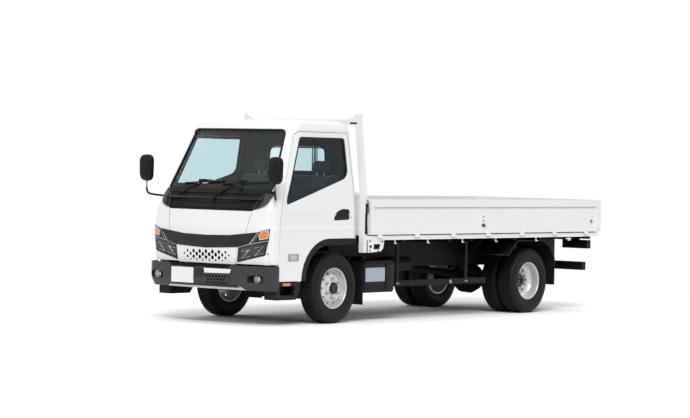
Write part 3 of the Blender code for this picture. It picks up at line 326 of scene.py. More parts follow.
TRIM_GREY = finish("trim_grey", (0.022, 0.023, 0.028), 0.60, 0.06, 0.15, 5.0, 0.0, 0.5, 500,
                   0.0003, Specular_IOR_Level=0.25)
LINING = finish("roof_lining", (0.10, 0.10, 0.10), 0.90, 0.05, 0.10, 6.0, 0.0, 0.5, 1200, 0.0004)
CHASSIS_BLACK = finish("chassis_black", (0.0045, 0.0045, 0.0055), 0.44, 0.10, 0.3, 3.0, 0.03,
                       0.7, 120, 0.0003, scuffs=0.05, Specular_IOR_Level=0.12)
CAST_METAL = finish("cast_metal", (0.030, 0.030, 0.034), 0.60, 0.1, 0.3, 6.0, 0.12, 0.8, 160,
                    0.0008, Metallic=0.4)
RUBBER = finish("rubber", (0.0050, 0.0050, 0.0058), 0.55, 0.08, 0.25, 7.0, 0.03, 0.8, 300, 0.0003,
                Specular_IOR_Level=0.16)
FLAP_RUBBER = finish("flap_rubber", (0.005, 0.005, 0.0055), 0.60, 0.08, 0.2, 5.0, 0.05, 0.7,
                     200, 0.0003, Specular_IOR_Level=0.12)
SEAL_RUBBER = finish("seal_rubber", (0.006, 0.006, 0.007), 0.45, 0.06, 0.2, 6.0, 0.02, 0.8,
                     400, 0.0001, Specular_IOR_Level=0.25)
WHEEL_SILVER = finish("wheel_silver", (0.60, 0.61, 0.63), 0.34, 0.06, 0.06, 5.0, 0.08, 0.35,
                      220, 0.00005, scuffs=0.03, Metallic=0.55)
SKID_SILVER = finish("skid_silver", (0.50, 0.51, 0.53), 0.34, 0.05, 0.06, 3.0, 0.12, 0.6, 300,
                     0.00006, Metallic=0.6)
ZINC = finish("zinc_plate", (0.55, 0.55, 0.54), 0.38, 0.1, 0.2, 20.0, 0.1, 0.7, 200, 0.0002,
              Metallic=0.9)
CHROME = finish("lamp_chrome", (0.80, 0.81, 0.83), 0.08, 0.03, 0.05, 8.0, 0.0, 0.5, 0.0,
                Metallic=1.0)
GUIDE_WHITE = finish("light_guide", (0.50, 0.52, 0.55), 0.18, 0.05, 0.04, 20.0, 0.0, 0.5, 900,
                     0.0001, Coat_Weight=0.6)
PLATE_WHITE = finish("plate_white", (0.78, 0.79, 0.80), 0.38, 0.05, 0.03, 8.0, 0.08, 0.6, 500,
                     0.00005)
PANEL_BLUE = finish("battery_panel", (0.36, 0.42, 0.50), 0.36, 0.08, 0.12, 6.0, 0.12, 0.6, 160,
                    0.0001, Metallic=0.5)
# Near-black for real seams, and painted shade in slots, gaps and behind openings
JOINT_AND_SHADE_DARK = finish("seam_dark", (0.006, 0.006, 0.007), 0.8, 0.05, 0.2, 9.0, 0.0,
                   Specular_IOR_Level=0.1)
MIRROR_FACE = finish("mirror_face", (0.75, 0.78, 0.80), 0.03, 0.01, 0.03, 4.0, 0.0, 0.5, 0.0,
                     Metallic=1.0)
GLASS = clear_material("window_glass", (0.84, 0.93, 0.95), 0.0, 0.02, Transmission_Weight=1.0,
                       IOR=1.30)
PRIVACY_GLASS = clear_material("side_glass", (0.62, 0.78, 0.82), 0.0, 0.02,
                               Transmission_Weight=1.0, IOR=1.18)
CLEAR_LENS = clear_material("lamp_cover", (0.96, 0.98, 1.0), 0.0, 0.02,
                            Transmission_Weight=1.0, IOR=1.30)
AMBER_LENS = clear_material("amber_lens", (0.80, 0.17, 0.015), 0.08, 0.08, 55.0,
                            Coat_Weight=0.8)
RED_LENS = clear_material("red_lens", (0.55, 0.02, 0.015), 0.08, 0.08, 55.0, Coat_Weight=0.8)
CLEAR_RIBS = clear_material("ribbed_lens", (0.34, 0.35, 0.37), 0.05, 0.08, 60.0, Metallic=0.6,
                            Coat_Weight=0.8)
SEAT_CLOTH = cloth_material("seat_cloth", (0.045, 0.048, 0.055), 110.0)
BOARD_PITCH = 0.1425
TIMBER = timber_material("deck_boards", (0.30, 0.22, 0.15), (0.17, 0.12, 0.08), BOARD_PITCH)
USUAL_SLOTS = {
    "black_plastic": (GRAINED_BLACK, SATIN_BLACK, SEAL_RUBBER, JOINT_AND_SHADE_DARK, MIRROR_FACE),
    "grey_plastic": (TILE_GREY, POD_GREY, PLATE_WHITE, SKID_SILVER, TRIM_GREY, LINING, PANEL_BLUE),
    "lamp": (CLEAR_LENS, GUIDE_WHITE, CLEAR_RIBS, AMBER_LENS, CHROME),
    "body_paint": (WHITE_PAINT, DECK_PAINT),
    "silver_steel": (ZINC, WHEEL_SILVER, CAST_METAL),
    "black_steel": (CHASSIS_BLACK,),
    "red_lamp": (RED_LENS,),
    "tyre": (RUBBER,),
    "timber": (TIMBER,),
    "cloth": (SEAT_CLOTH,),
}
SLOT_OF = {material: slot for slot, materials in USUAL_SLOTS.items() for material in materials}

LINED_COLOUR = (0.030, 0.031, 0.035, 1.0)
BEHIND_GLASS = 0.035     # how far behind the windshield's plane the lining starts


def lined_paint(material, centre, low, high):
    """Turn the paint dark where a face inside the cab's room looks towards its middle."""
    material = material.copy()
    material.name = "cab_paint"
    tree = material.node_tree
    shader = tree.nodes["Principled BSDF"]
    coordinates = tree.nodes.new("ShaderNodeTexCoord")

    def vector(operation, first, second):
        node = tree.nodes.new("ShaderNodeVectorMath")
        node.operation = operation
        feed(tree, node.inputs[0], first)
        feed(tree, node.inputs[1], second)
        return node

    outward = vector("SUBTRACT", coordinates.outputs["Object"], centre).outputs["Vector"]
    facing = vector("DOT_PRODUCT", outward, coordinates.outputs["Normal"]).outputs["Value"]
    inside = maths(tree, "LESS_THAN", facing, 0.0)
    split = tree.nodes.new("ShaderNodeSeparateXYZ")
    tree.links.new(coordinates.outputs["Object"], split.inputs[0])
    for axis in range(3):
        above = maths(tree, "GREATER_THAN", split.outputs[axis], low[axis])
        below = maths(tree, "LESS_THAN", split.outputs[axis], high[axis])
        inside = maths(tree, "MULTIPLY", inside, maths(tree, "MULTIPLY", above, below))
    glass_low, glass_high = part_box("windshield")
    lean = (glass_high.y - glass_low.y) / (glass_high.z - glass_low.z)
    front = maths(tree, "ADD", maths(tree, "MULTIPLY", split.outputs["Z"], lean),
                  glass_low.y - glass_low.z * lean + BEHIND_GLASS)
    inside = maths(tree, "MULTIPLY", inside,
                   maths(tree, "GREATER_THAN", split.outputs["Y"], front))
    colour = shader.inputs["Base Color"].links[0].from_socket
    tree.links.new(mixed_colour(tree, inside, colour, LINED_COLOUR),
                   shader.inputs["Base Color"])
    rough = shader.inputs["Roughness"].links[0].from_socket
    tree.links.new(maths(tree, "MAXIMUM", rough, maths(tree, "MULTIPLY", inside, 0.7)),
                   shader.inputs["Roughness"])
    coat = maths(tree, "MULTIPLY", maths(tree, "SUBTRACT", 1.0, inside), 0.8)
    tree.links.new(coat, shader.inputs["Coat Weight"])
    return material


CAB_PAINT = lined_paint(WHITE_PAINT, spot(0.0, -0.330, 1.400), spot(-0.830, -1.030, 0.860),
                        spot(0.830, 0.290, 1.985))


# Mesh helpers

def link(name, mesh):
    obj = bpy.data.objects.new(name, mesh)
    bpy.context.scene.collection.objects.link(obj)
    return obj


def swapped(name):
    return name.replace("left", "right")


def dress(obj, material, body, slot=None, replaces=(), smooth=35.0):
    """Finish, shading and body of one new piece; the slot, or the material's usual where none is
    given, is looked up but not put on the piece.
    """
    slot = slot or SLOT_OF[material]
    mesh = obj.data
    mesh.materials.clear()
    mesh.materials.append(material)
    mesh.polygons.foreach_set("use_smooth", [True] * len(mesh.polygons))
    mesh.set_sharp_from_angle(angle=math.radians(smooth))
    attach(obj, body)
    if replaces:
        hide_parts(*replaces)


def mesh_object(name, bm, twin=False):
    """A piece from a bmesh with its faces turned outwards, or its mirror image."""
    if twin:
        bmesh.ops.scale(bm, vec=(-1, 1, 1), verts=bm.verts)
    bmesh.ops.recalc_face_normals(bm, faces=bm.faces)
    mesh = bpy.data.meshes.new(name)
    bm.to_mesh(mesh)
    return link(name, mesh)


def piece(name, bm, material, body, slot=None, replaces=(), smooth=35.0, both=False):
    """One piece, and where both is set its mirror image on the other side."""
    other = bm.copy() if both else None
    dress(mesh_object(name, bm), material, body, slot, replaces, smooth)
    bm.free()
    if both:
        right = mesh_object(swapped(name), other, twin=True)
        dress(right, material, swapped(body), slot, [swapped(n) for n in replaces], smooth)
        other.free()


def surface(*names):
    """Ray-cast tree over the skins of CAD nodes."""
    corners, faces = [], []
    for name in names:
        start = len(corners)
        corners += [v.co.copy() for v in cad[name].data.vertices]
        faces += [[start + i for i in face.vertices] for face in cad[name].data.polygons]
    return BVHTree.FromPolygons(corners, faces)


DISC_SIDES = 16
# Where a viewer stands: axes across and up, depth axis, the side of the viewer, ray start
VIEWS = {
    "front": (0, 2, 1, -1, 6.0),
    "rear": (0, 2, 1, 1, 6.0),
    "left": (1, 2, 0, 1, 6.0),
    "inside": (1, 2, 0, -1, 0.0),
}


def laid_on(skin, view, u, v):
    """The point of a skin that a viewer sees at (u, v), and the way towards the viewer."""
    across, up, depth, side, far = VIEWS[view]
    start = Vector((0, 0, 0))
    start[across] = along(u) if across == 1 else u
    start[up] = v
    start[depth] = side * far
    towards = Vector((0, 0, 0))
    towards[depth] = side
    hit = skin.ray_cast(start, -towards)[0]
    if hit is None:
        hit = start
        for _ in range(3):
            hit[depth] = skin.find_nearest(hit)[0][depth]
    return hit, towards


def bridged(skin, view, first, second):
    """A smooth skin ruled between two rows of spots on another, across any holes."""
    rows = [[laid_on(skin, view, u, v)[0] for u, v in row] for row in (first, second)]
    count = len(first)
    faces = [(k, k + 1, count + k + 1, count + k) for k in range(count - 1)]
    return BVHTree.FromPolygons(rows[0] + rows[1], faces)


def upright(skin, across, height):
    """An upright skin through the spots of another at one height, run on at both ends."""
    level = [laid_on(skin, "front", x, height)[0] for x in across]
    level = ([level[0] + (level[0] - level[1]) * 4] + level
             + [level[-1] + (level[-1] - level[-2]) * 4])
    corners = [Vector((p.x, p.y, p.z + shift)) for shift in (-0.2, 0.2) for p in level]
    count = len(level)
    faces = [(k, k + 1, count + k + 1, count + k) for k in range(count - 1)]
    return BVHTree.FromPolygons(corners, faces)


def both_sides(half):
    """A loop across the middle from its left half as (x, z)."""
    return half + [(-x, z) for x, z in reversed(half)]


def rounded(outline, radius, steps=3):
    """The outline with each corner cut round."""
    loop = []
    for i, spot_here in enumerate(outline):
        here = Vector(spot_here)
        before, after = Vector(outline[i - 1]), Vector(outline[(i + 1) % len(outline)])
        reach = min(radius, (before - here).length * 0.45, (after - here).length * 0.45)
        start = here + (before - here).normalized() * reach
        end = here + (after - here).normalized() * reach
        for k in range(steps + 1):
            t = k / steps
            loop.append(tuple(start * (1 - t) ** 2 + here * 2 * t * (1 - t) + end * t ** 2))
    return loop


def rectangle(low_u, low_v, high_u, high_v, radius):
    return rounded([(low_u, low_v), (high_u, low_v), (high_u, high_v), (low_u, high_v)], radius)


def inset(loop, depth):
    """The loop drawn in by depth, each corner along its own bisector."""
    area = sum(a[0] * b[1] - b[0] * a[1] for a, b in zip(loop, loop[1:] + loop[:1]))
    turn = 1 if area > 0 else -1
    result = []
    for i, spot_here in enumerate(loop):
        here = Vector(spot_here)
        back = (here - Vector(loop[i - 1])).normalized()
        ahead = (Vector(loop[(i + 1) % len(loop)]) - here).normalized()
        normal = Vector((-back.y - ahead.y, back.x + ahead.x)) * turn
        share = depth * 2 / max(normal.length_squared, 0.6)
        result.append(tuple(here + normal * share))
    return result


def strip(points, width):
    """Outline of a band of even width that follows points."""
    left, right = [], []
    for i, spot_here in enumerate(points):
        here = Vector(spot_here)
        ahead = Vector(points[min(i + 1, len(points) - 1)]) - Vector(points[max(i - 1, 0)])
        normal = Vector((-ahead.y, ahead.x)).normalized() * width / 2
        left.append(tuple(here + normal))
        right.append(tuple(here - normal))
    return left + right[::-1]


def disc(centre, radius):
    angles = [2 * math.pi * k / DISC_SIDES for k in range(DISC_SIDES)]
    return [(centre[0] + radius * math.cos(a), centre[1] + radius * math.sin(a)) for a in angles]


def patch_mesh(outline, skin, view, base, top, hole=None, step=0.03):
    """A closed patch over a skin, from base to top above it; a hole makes it a ring."""
    bm = bmesh.new()
    outer = [bm.verts.new((u, v, 0)) for u, v in outline]
    if hole:
        inner = [bm.verts.new((u, v, 0)) for u, v in hole]
        for i in range(len(outer)):
            k = (i + 1) % len(outer)
            bm.faces.new((outer[i], outer[k], inner[k], inner[i]))
    else:
        bm.faces.new(outer)
    for axis in (0, 1):
        values = [point[axis] for point in outline]
        normal = Vector((0, 0, 0))
        normal[axis] = 1
        for k in range(math.ceil(min(values) / step), math.floor(max(values) / step) + 1):
            geometry = bm.verts[:] + bm.edges[:] + bm.faces[:]
            bmesh.ops.bisect_plane(bm, geom=geometry, plane_co=normal * (k * step), plane_no=normal)
    bmesh.ops.triangulate(bm, faces=[f for f in bm.faces if len(f.verts) > 4])
    lower = list(bm.verts)
    extruded = bmesh.ops.extrude_face_region(bm, geom=list(bm.faces), use_keep_orig=True)
    upper = [item for item in extruded["geom"] if isinstance(item, bmesh.types.BMVert)]
    for verts, height in ((lower, base), (upper, top)):
        for vert in verts:
            hit, towards = laid_on(skin, view, vert.co.x, vert.co.y)
            vert.co = hit + towards * height
    return bm


def patches(skin, view, body, **usual):
    """A function that makes pieces by laying patches on one skin.

    usual holds what most of its patches share; see patch_mesh and piece for the values.
    """
    def add(name, outline, base, top, material, slot=None, **own):
        more = {"skin": skin, **usual, **own}
        shape = {key: more.pop(key) for key in ("hole", "step") if key in more}
        bm = patch_mesh(outline, more.pop("skin"), view, base, top, **shape)
        piece(name, bm, material, body, slot, **more)

    return add


def merged(*meshes):
    """Several closed bmeshes as one."""
    result = bmesh.new()
    for bm in meshes:
        mesh = bpy.data.meshes.new("part")
        bm.to_mesh(mesh)
        result.from_mesh(mesh)
        bpy.data.meshes.remove(mesh)
        bm.free()
    return result


def soft_box(low, high, radius, segments=2):
    """A box with rounded edges."""
    bm = bmesh.new()
    bmesh.ops.create_cube(bm, size=1.0)
    size = Vector(high) - Vector(low)
    centre = (Vector(high) + Vector(low)) / 2
    for vert in bm.verts:
        vert.co = Vector(a * b for a, b in zip(vert.co, size)) + centre
    bmesh.ops.bevel(bm, geom=bm.edges[:], offset=radius, segments=segments, profile=0.5,
                    affect="EDGES")
    return bm


def turned(profile, centre, sides=64, axis="x"):
    """A closed (along, radius) loop turned round an axis through centre."""
    bm = bmesh.new()
    rings = []
    for distance, radius in profile:
        ring = []
        for k in range(sides if radius > 1e-6 else 1):
            angle = 2 * math.pi * k / sides
            u, v = radius * math.cos(angle), radius * math.sin(angle)
            place = {"x": (distance, u, v), "y": (u, distance, v), "z": (u, v, distance)}[axis]
            ring.append(bm.verts.new(Vector(place) + centre))
        rings.append(ring)
    closed = all(len(ring) > 1 for ring in rings)
    follows = rings[1:] + rings[:1] if closed else rings[1:]
    for ring, after in zip(rings, follows):
        for k in range(sides):
            n = (k + 1) % sides
            loop = [ring[k % len(ring)], ring[n % len(ring)],
                    after[n % len(after)], after[k % len(after)]]
            unique = list(dict.fromkeys(loop))
            if len(unique) > 2:
                bm.faces.new(unique)
    return bm


def cut_away(bm, cutters):
    """The solid less all of the cutters."""
    solid, tool = mesh_object("solid", bm), mesh_object("cutters", cutters)
    cut = solid.modifiers.new("cut", "BOOLEAN")
    cut.operation, cut.solver, cut.object = "DIFFERENCE", "EXACT", tool
    graph = bpy.context.evaluated_depsgraph_get()
    mesh = bpy.data.meshes.new_from_object(solid.evaluated_get(graph))
    result = bmesh.new()
    result.from_mesh(mesh)
    for obj in (solid, tool):
        bpy.data.objects.remove(obj)
    return result


def bands(bm, rings):
    """Faces between rings of corners that follow each other."""
    for ring, after in zip(rings, rings[1:]):
        for k in range(len(ring)):
            n = (k + 1) % len(ring)
            bm.faces.new((ring[k], ring[n], after[n], after[k]))


def bent_rod(points, radius, sides=10):
    """A round bar along points with closed ends."""
    bm = bmesh.new()
    angles = [2 * math.pi * k / sides for k in range(sides)]
    circle = [Vector((radius * math.cos(a), radius * math.sin(a), 0)) for a in angles]
    rings = []
    for i, point in enumerate(points):
        ahead = points[min(i + 1, len(points) - 1)] - points[max(i - 1, 0)]
        turn = ahead.to_track_quat("Z", "Y")
        rings.append([bm.verts.new(point + turn @ corner) for corner in circle])
    bands(bm, rings)
    bm.faces.new(rings[0][::-1])
    bm.faces.new(rings[-1])
    return bm


# Repeated pieces grown by node trees

def node_tree(name, inputs):
    """An empty geometry tree, its named inputs as sockets, and its end."""
    tree = bpy.data.node_groups.new(name, "GeometryNodeTree")
    for label, kind in {"Geometry": "Geometry", **inputs, "Material": "Material"}.items():
        tree.interface.new_socket(label, in_out="INPUT", socket_type="NodeSocket" + kind)
    tree.interface.new_socket("Geometry", in_out="OUTPUT", socket_type="NodeSocketGeometry")
    return tree, tree.nodes.new("NodeGroupInput").outputs, tree.nodes.new("NodeGroupOutput")


def wired(tree, kind, links, **settings):
    """The first output of a new node with some inputs linked or written.

    links is by socket name; a list links each of its values to the one socket.
    """
    node = tree.nodes.new(kind)
    for label, value in settings.items():
        setattr(node, label, value)
    for label, given in links.items():
        for value in given if isinstance(given, list) else [given]:
            feed(tree, node.inputs[label], value)
    return node.outputs[0]


def end_tree(tree, given, end, points, instance, **more):
    """Instances on points, turned into one mesh with the tree's material."""
    placed = wired(tree, "GeometryNodeInstanceOnPoints",
                   {"Points": points, "Instance": instance, **more})
    if "Centre" in given:
        placed = wired(tree, "GeometryNodeTransform", {
            "Geometry": placed, "Translation": given["Centre"],
            "Rotation": (0.0, math.pi / 2, 0.0)})
    real = wired(tree, "GeometryNodeRealizeInstances", {"Geometry": placed})
    painted = wired(tree, "GeometryNodeSetMaterial", {"Geometry": real,
                                                      "Material": given["Material"]})
    tree.links.new(painted, end.inputs[0])
    return tree


def stud_tree():
    """A bolt head on a washer at each point, standing along one axis."""
    tree, given, end = node_tree("studs", {"Radius": "Float", "Height": "Float", "Sides": "Int",
                                           "Axis": "Vector"})
    radius, height = given["Radius"], given["Height"]
    head = wired(tree, "GeometryNodeMeshCone", {
        "Vertices": given["Sides"], "Radius Bottom": radius,
        "Radius Top": maths(tree, "MULTIPLY", radius, 0.82), "Depth": height})
    washer = wired(tree, "GeometryNodeMeshCylinder", {
        "Vertices": 14, "Radius": maths(tree, "MULTIPLY", radius, 1.45),
        "Depth": maths(tree, "MULTIPLY", height, 0.7)})
    low = wired(tree, "ShaderNodeCombineXYZ", {"Z": maths(tree, "MULTIPLY", height, 0.25)})
    both = wired(tree, "GeometryNodeJoinGeometry", {"Geometry": [
        wired(tree, "GeometryNodeTransform", {"Geometry": washer, "Scale": (1.0, 1.0, 0.45)}),
        wired(tree, "GeometryNodeTransform", {"Geometry": head, "Translation": low})]})
    turn = wired(tree, "FunctionNodeAlignRotationToVector", {"Vector": given["Axis"]}, axis="Z")
    return end_tree(tree, given, end, given["Geometry"], both, Rotation=turn)


def slat_tree():
    """Boxes of one size at even steps from one point to another."""
    tree, given, end = node_tree("slats", {"Count": "Int", "First": "Vector", "Last": "Vector",
                                           "Size": "Vector", "Turn": "Vector"})
    steps = wired(tree, "GeometryNodeMeshLine", {
        "Count": given["Count"], "Start Location": given["First"], "Offset": given["Last"]},
        mode="END_POINTS")
    slat = wired(tree, "GeometryNodeMeshCube", {"Size": given["Size"]})
    leaning = wired(tree, "GeometryNodeTransform", {"Geometry": slat, "Rotation": given["Turn"]})
    return end_tree(tree, given, end, steps, leaning)


def tread_tree():
    """Blocks round a tyre at a set distance to each side of its middle, at a slant."""
    tree, given, end = node_tree("tread", {"Count": "Int", "Radius": "Float", "Aside": "Float",
                                           "Block": "Vector", "Slant": "Float",
                                           "Centre": "Vector"})
    circle = wired(tree, "GeometryNodeMeshCircle", {"Vertices": given["Count"],
                                                    "Radius": given["Radius"]})
    block = wired(tree, "GeometryNodeMeshCube", {"Size": given["Block"]})
    pair = []
    for side in (1.0, -1.0):
        shift = wired(tree, "ShaderNodeCombineXYZ",
                      {"Z": maths(tree, "MULTIPLY", given["Aside"], side)})
        slant = wired(tree, "ShaderNodeCombineXYZ",
                      {"X": maths(tree, "MULTIPLY", given["Slant"], side)})
        pair.append(wired(tree, "GeometryNodeTransform", {
            "Geometry": block, "Translation": shift, "Rotation": slant}))
    both = wired(tree, "GeometryNodeJoinGeometry", {"Geometry": pair})
    outwards = wired(tree, "GeometryNodeInputPosition", {})
    turn = wired(tree, "FunctionNodeAlignRotationToVector", {"Vector": outwards},
                 axis="X", pivot_axis="Z")
    return end_tree(tree, given, end, circle, both, Rotation=turn)


STUDS, SLATS, TREAD = stud_tree(), slat_tree(), tread_tree()


def grown(name, tree, material, values, points=(), soft=0.0):
    """The tree's result as a plain mesh, on vertices at points, with edges rounded by soft."""
    mesh = bpy.data.meshes.new(name)
    mesh.from_pydata([tuple(p) for p in points], [], [])
    obj = link(name, mesh)
    modifier = obj.modifiers.new("grow", "NODES")
    modifier.node_group = tree
    values = {**values, "Material": material}
    for item in tree.interface.items_tree:
        if item.in_out == "INPUT" and item.name in values:
            modifier[item.identifier] = values[item.name]
    if soft:
        bevel = obj.modifiers.new("soft", "BEVEL")
        bevel.width, bevel.segments = soft, 1
    graph = bpy.context.evaluated_depsgraph_get()
    obj.data = bpy.data.meshes.new_from_object(obj.evaluated_get(graph))
    obj.modifiers.clear()
    return obj


def studs(name, points, axis, material, body, radius, height, sides=6, slot=None):
    obj = grown(name, STUDS, material, {"Radius": radius, "Height": height, "Sides": sides,
                                        "Axis": tuple(axis)}, points)
    dress(obj, material, body, slot)


def side_studs(name, points, material, body, *size, **more):
    """Studs that stand outwards on the left side, and their twins on the right."""
    for mirror, side in SIDES:
        studs(f"{name}_{side}", [Vector((p.x * mirror, p.y, p.z)) for p in points],
              (mirror, 0, 0), material, body.replace("left", side), *size, **more)


def slats(name, count, first, last, size, material, body, turn=(0, 0, 0), replaces=(), soft=0.0):
    obj = grown(name, SLATS, material, {"Count": count, "First": tuple(first),
                                        "Last": tuple(last), "Size": size, "Turn": turn},
                soft=soft)
    dress(obj, material, body, replaces=replaces)


# Finishes of the CAD nodes that stay

NODE_FINISH = {
    CAB_PAINT: ("cab_shell", "door_left", "door_right"),
    WHITE_PAINT: ("front_fascia",),
    DECK_PAINT: ("deck_rim", "headboard", "side_gate_left", "side_gate_right", "tail_gate"),
    SATIN_BLACK: ("grille_band",),
    GRAINED_BLACK: ("cowl_panel", "arch_flare_left", "arch_flare_right", "mirror_left",
                    "mirror_right", "step_left", "step_right", "battery_box",
                    "rear_fender_left", "rear_fender_right", "rear_lamp_left",
                    "rear_lamp_right"),
    BUMPER_GREY: ("bumper",),
    TRIM_GREY: ("dashboard",),
    CHASSIS_BLACK: ("chassis_frame", "front_axle", "rear_axle", "driveshaft", "knuckle_left",
                    "knuckle_right", "fuel_tank", "muffler", "air_tank", "side_guard_left",
                    "side_guard_right", "deck_frame"),
    CAST_METAL: ("engine",),
    FLAP_RUBBER: ("front_mud_flap_left", "front_mud_flap_right"),
    GLASS: ("windshield", "rear_window"),
    PRIVACY_GLASS: ("door_glass_left", "door_glass_right"),
}
for look, names in NODE_FINISH.items():
    for name in names:
        mesh = cad[name].data
        mesh.materials.clear()
        mesh.materials.append(look)


# Front of the cab

WINDSHIELD = rounded(both_sides([(0.700, 1.305), (0.598, 1.925)]), 0.06, 5)
CLEAR_VIEW = rounded(both_sides([(0.655, 1.372), (0.572, 1.886)]), 0.05, 5)
LAMP_LOW = [(0.414, 0.753), (0.545, 0.786), (0.648, 0.806), (0.752, 0.825), (0.722, 0.694),
            (0.397, 0.618)]
LAMP_HIGH = [(0.562, 0.804), (0.645, 0.908), (0.760, 0.944), (0.757, 0.842), (0.650, 0.822)]
LAMP_BAR = [(0.414, 0.764), (0.556, 0.801), (0.650, 0.820), (0.757, 0.838), (0.756, 0.829),
            (0.650, 0.810), (0.548, 0.790), (0.413, 0.756)]
TURN_LENS = [(0.672, 0.846), (0.664, 0.880), (0.684, 0.912), (0.750, 0.932), (0.749, 0.862)]
LIGHT_GUIDES = ([(0.440, 0.722), (0.545, 0.744), (0.440, 0.654), (0.545, 0.679)],
                [(0.590, 0.757), (0.700, 0.780), (0.592, 0.684), (0.690, 0.710)])
PROJECTORS = ((0.490, 0.698), (0.640, 0.730))


def windshield_trim():
    add = patches(surface("windshield"), "front", "cab", step=0.06)
    add("windshield_border", inset(WINDSHIELD, 0.001), 0.0002, 0.0012, SATIN_BLACK, "glass",
        hole=CLEAR_VIEW)
    add("windshield_seal", inset(WINDSHIELD, 0.0005), 0.0, 0.0115, SEAL_RUBBER,
        hole=inset(WINDSHIELD, 0.015))


def headlamps():
    """Housing, light guides, lenses and covers in place of each plain lamp."""
    skin = surface("headlamp_left")
    add = patches(skin, "front", "cab", both=True, step=0.04)
    add("headlamp_housing_left", inset(LAMP_LOW, 0.001), -0.034, -0.028, SATIN_BLACK, "lamp",
        replaces=("headlamp_left",))
    add("headlamp_bezel_left", LAMP_LOW, -0.034, -0.0006, SATIN_BLACK, hole=inset(LAMP_LOW, 0.007))
    add("headlamp_cover_left", inset(LAMP_LOW, 0.0065), -0.004, -0.0014, CLEAR_LENS)
    for number, points in enumerate(LIGHT_GUIDES, 1):
        add(f"light_guide_{number}_left", strip(points, 0.0055), -0.020, -0.012, GUIDE_WHITE,
            step=0.05)
    for number, centre in enumerate(PROJECTORS, 1):
        add(f"projector_{number}_left", disc(centre, 0.013), -0.030, -0.018, CLEAR_RIBS, step=0.008)
    add("lamp_bar_left", LAMP_BAR, -0.030, 0.0002, TILE_GREY)
    add = patches(skin, "front", "cab", both=True, step=0.03)
    add("turn_lamp_housing_left", LAMP_HIGH, -0.030, -0.0005, SATIN_BLACK)
    add("turn_lamp_edge_left", inset(TURN_LENS, -0.006), -0.004, 0.0022, CHROME, hole=TURN_LENS)
    add("turn_lamp_lens_left", inset(TURN_LENS, 0.0005), -0.004, 0.0012, AMBER_LENS)
    edge = strip([(0.588, 0.818), (0.628, 0.862), (0.660, 0.908)], 0.005)
    add("turn_lamp_accent_left", edge, -0.002, 0.0008, TILE_GREY, "lamp")


SPREAD_HALF = 0.74
SPREAD = [SPREAD_HALF * k / 12 for k in range(-12, 13)]    # even steps across the front


def cowl():
    """Painted shade in the air slot, the sill under the glass, louvres and the corner pods."""
    skin = surface("cowl_panel", "cab_shell")
    add = patches(skin, "front", "cab", step=0.05)
    # The air slot is a near-black strip on the surface: painted shade inside the slot.
    slot = strip([(-0.520, 1.140), (0.0, 1.134), (0.520, 1.140)], 0.016)
    add("cowl_slot", slot, -0.001, 0.0006, JOINT_AND_SHADE_DARK)
    ledge = strip([(-0.600, 1.205), (0.0, 1.196), (0.600, 1.205)], 0.010)
    add("cowl_ledge", ledge, -0.001, 0.007, GRAINED_BLACK)
    sill = rounded(both_sides([(0.722, 1.282), (0.716, 1.330)]), 0.02)
    cover = bridged(surface("cowl_panel", "cab_shell", "windshield"), "front",
                    [(x, 1.276) for x in SPREAD], [(x, 1.345) for x in SPREAD])
    add("cowl_sill", sill, -0.004, 0.0110, GRAINED_BLACK, skin=cover)
    ends = [laid_on(skin, "front", x, 1.160)[0] + Vector((0, -0.001, 0)) for x in (-0.45, 0.45)]
    slats("cowl_louvres", 31, *ends, (0.006, 0.008, 0.018), GRAINED_BLACK, "cab")
    add = patches(skin, "front", "cab", both=True, step=0.02, smooth=50)
    pod = rounded([(0.560, 1.128), (0.690, 1.178), (0.722, 1.286), (0.640, 1.292),
                   (0.585, 1.240)], 0.025)
    add("corner_pod_left", pod, -0.001, 0.020, POD_GREY)
    cap = rounded([(0.575, 1.142), (0.625, 1.162), (0.640, 1.276), (0.598, 1.230)], 0.012)
    add("corner_pod_cap_left", cap, 0.0, 0.026, GRAINED_BLACK)


# Pivot, elbow and blade of each wiper
WIPERS = (((-0.487, 1.245), (-0.230, 1.408), ((-0.470, 1.372), (0.070, 1.402))),
          ((0.020, 1.240), (0.300, 1.408), ((0.055, 1.372), (0.600, 1.400))))


def wipers():
    add = patches(surface("windshield", "cowl_panel", "cab_shell"), "front", "cab")
    for number, (pivot, elbow, blade) in enumerate(WIPERS, 1):
        bend = ((pivot[0] + elbow[0]) / 2 - 0.01, (pivot[1] + elbow[1]) / 2 + 0.01)
        rubber = [(x, z - 0.004) for x, z in blade]
        clip = [(elbow[0] - 0.035, elbow[1] - 0.005), (elbow[0] + 0.030, elbow[1] - 0.003)]
        add(f"wiper_arm_{number}", strip([pivot, bend, elbow], 0.014), 0.016, 0.026, GRAINED_BLACK)
        add(f"wiper_head_{number}", disc(pivot, 0.026), 0.0, 0.030, GRAINED_BLACK, step=0.02)
        add(f"wiper_frame_{number}", strip(blade, 0.014), 0.008, 0.018, GRAINED_BLACK)
        add(f"wiper_rubber_{number}", strip(rubber, 0.006), 0.0008, 0.010, SEAL_RUBBER)
        add(f"wiper_clip_{number}", strip(clip, 0.022), 0.008, 0.030, GRAINED_BLACK)


FASCIA = both_sides([(0.0, 0.592), (0.370, 0.592), (0.402, 0.762), (0.0, 0.744)])
FASCIA_SHARE = 0.52                  # of the spread that its cover skin takes
CELL_PITCH, CELL_RISE = 0.042, 0.056
CELL_HALF_WIDTH, CELL_HALF_HEIGHT = 0.0200, 0.0225
CELL_COLUMNS = 7                     # on each side of the middle one
CELL_SHRINK = 0.45                   # what the outermost cells lose


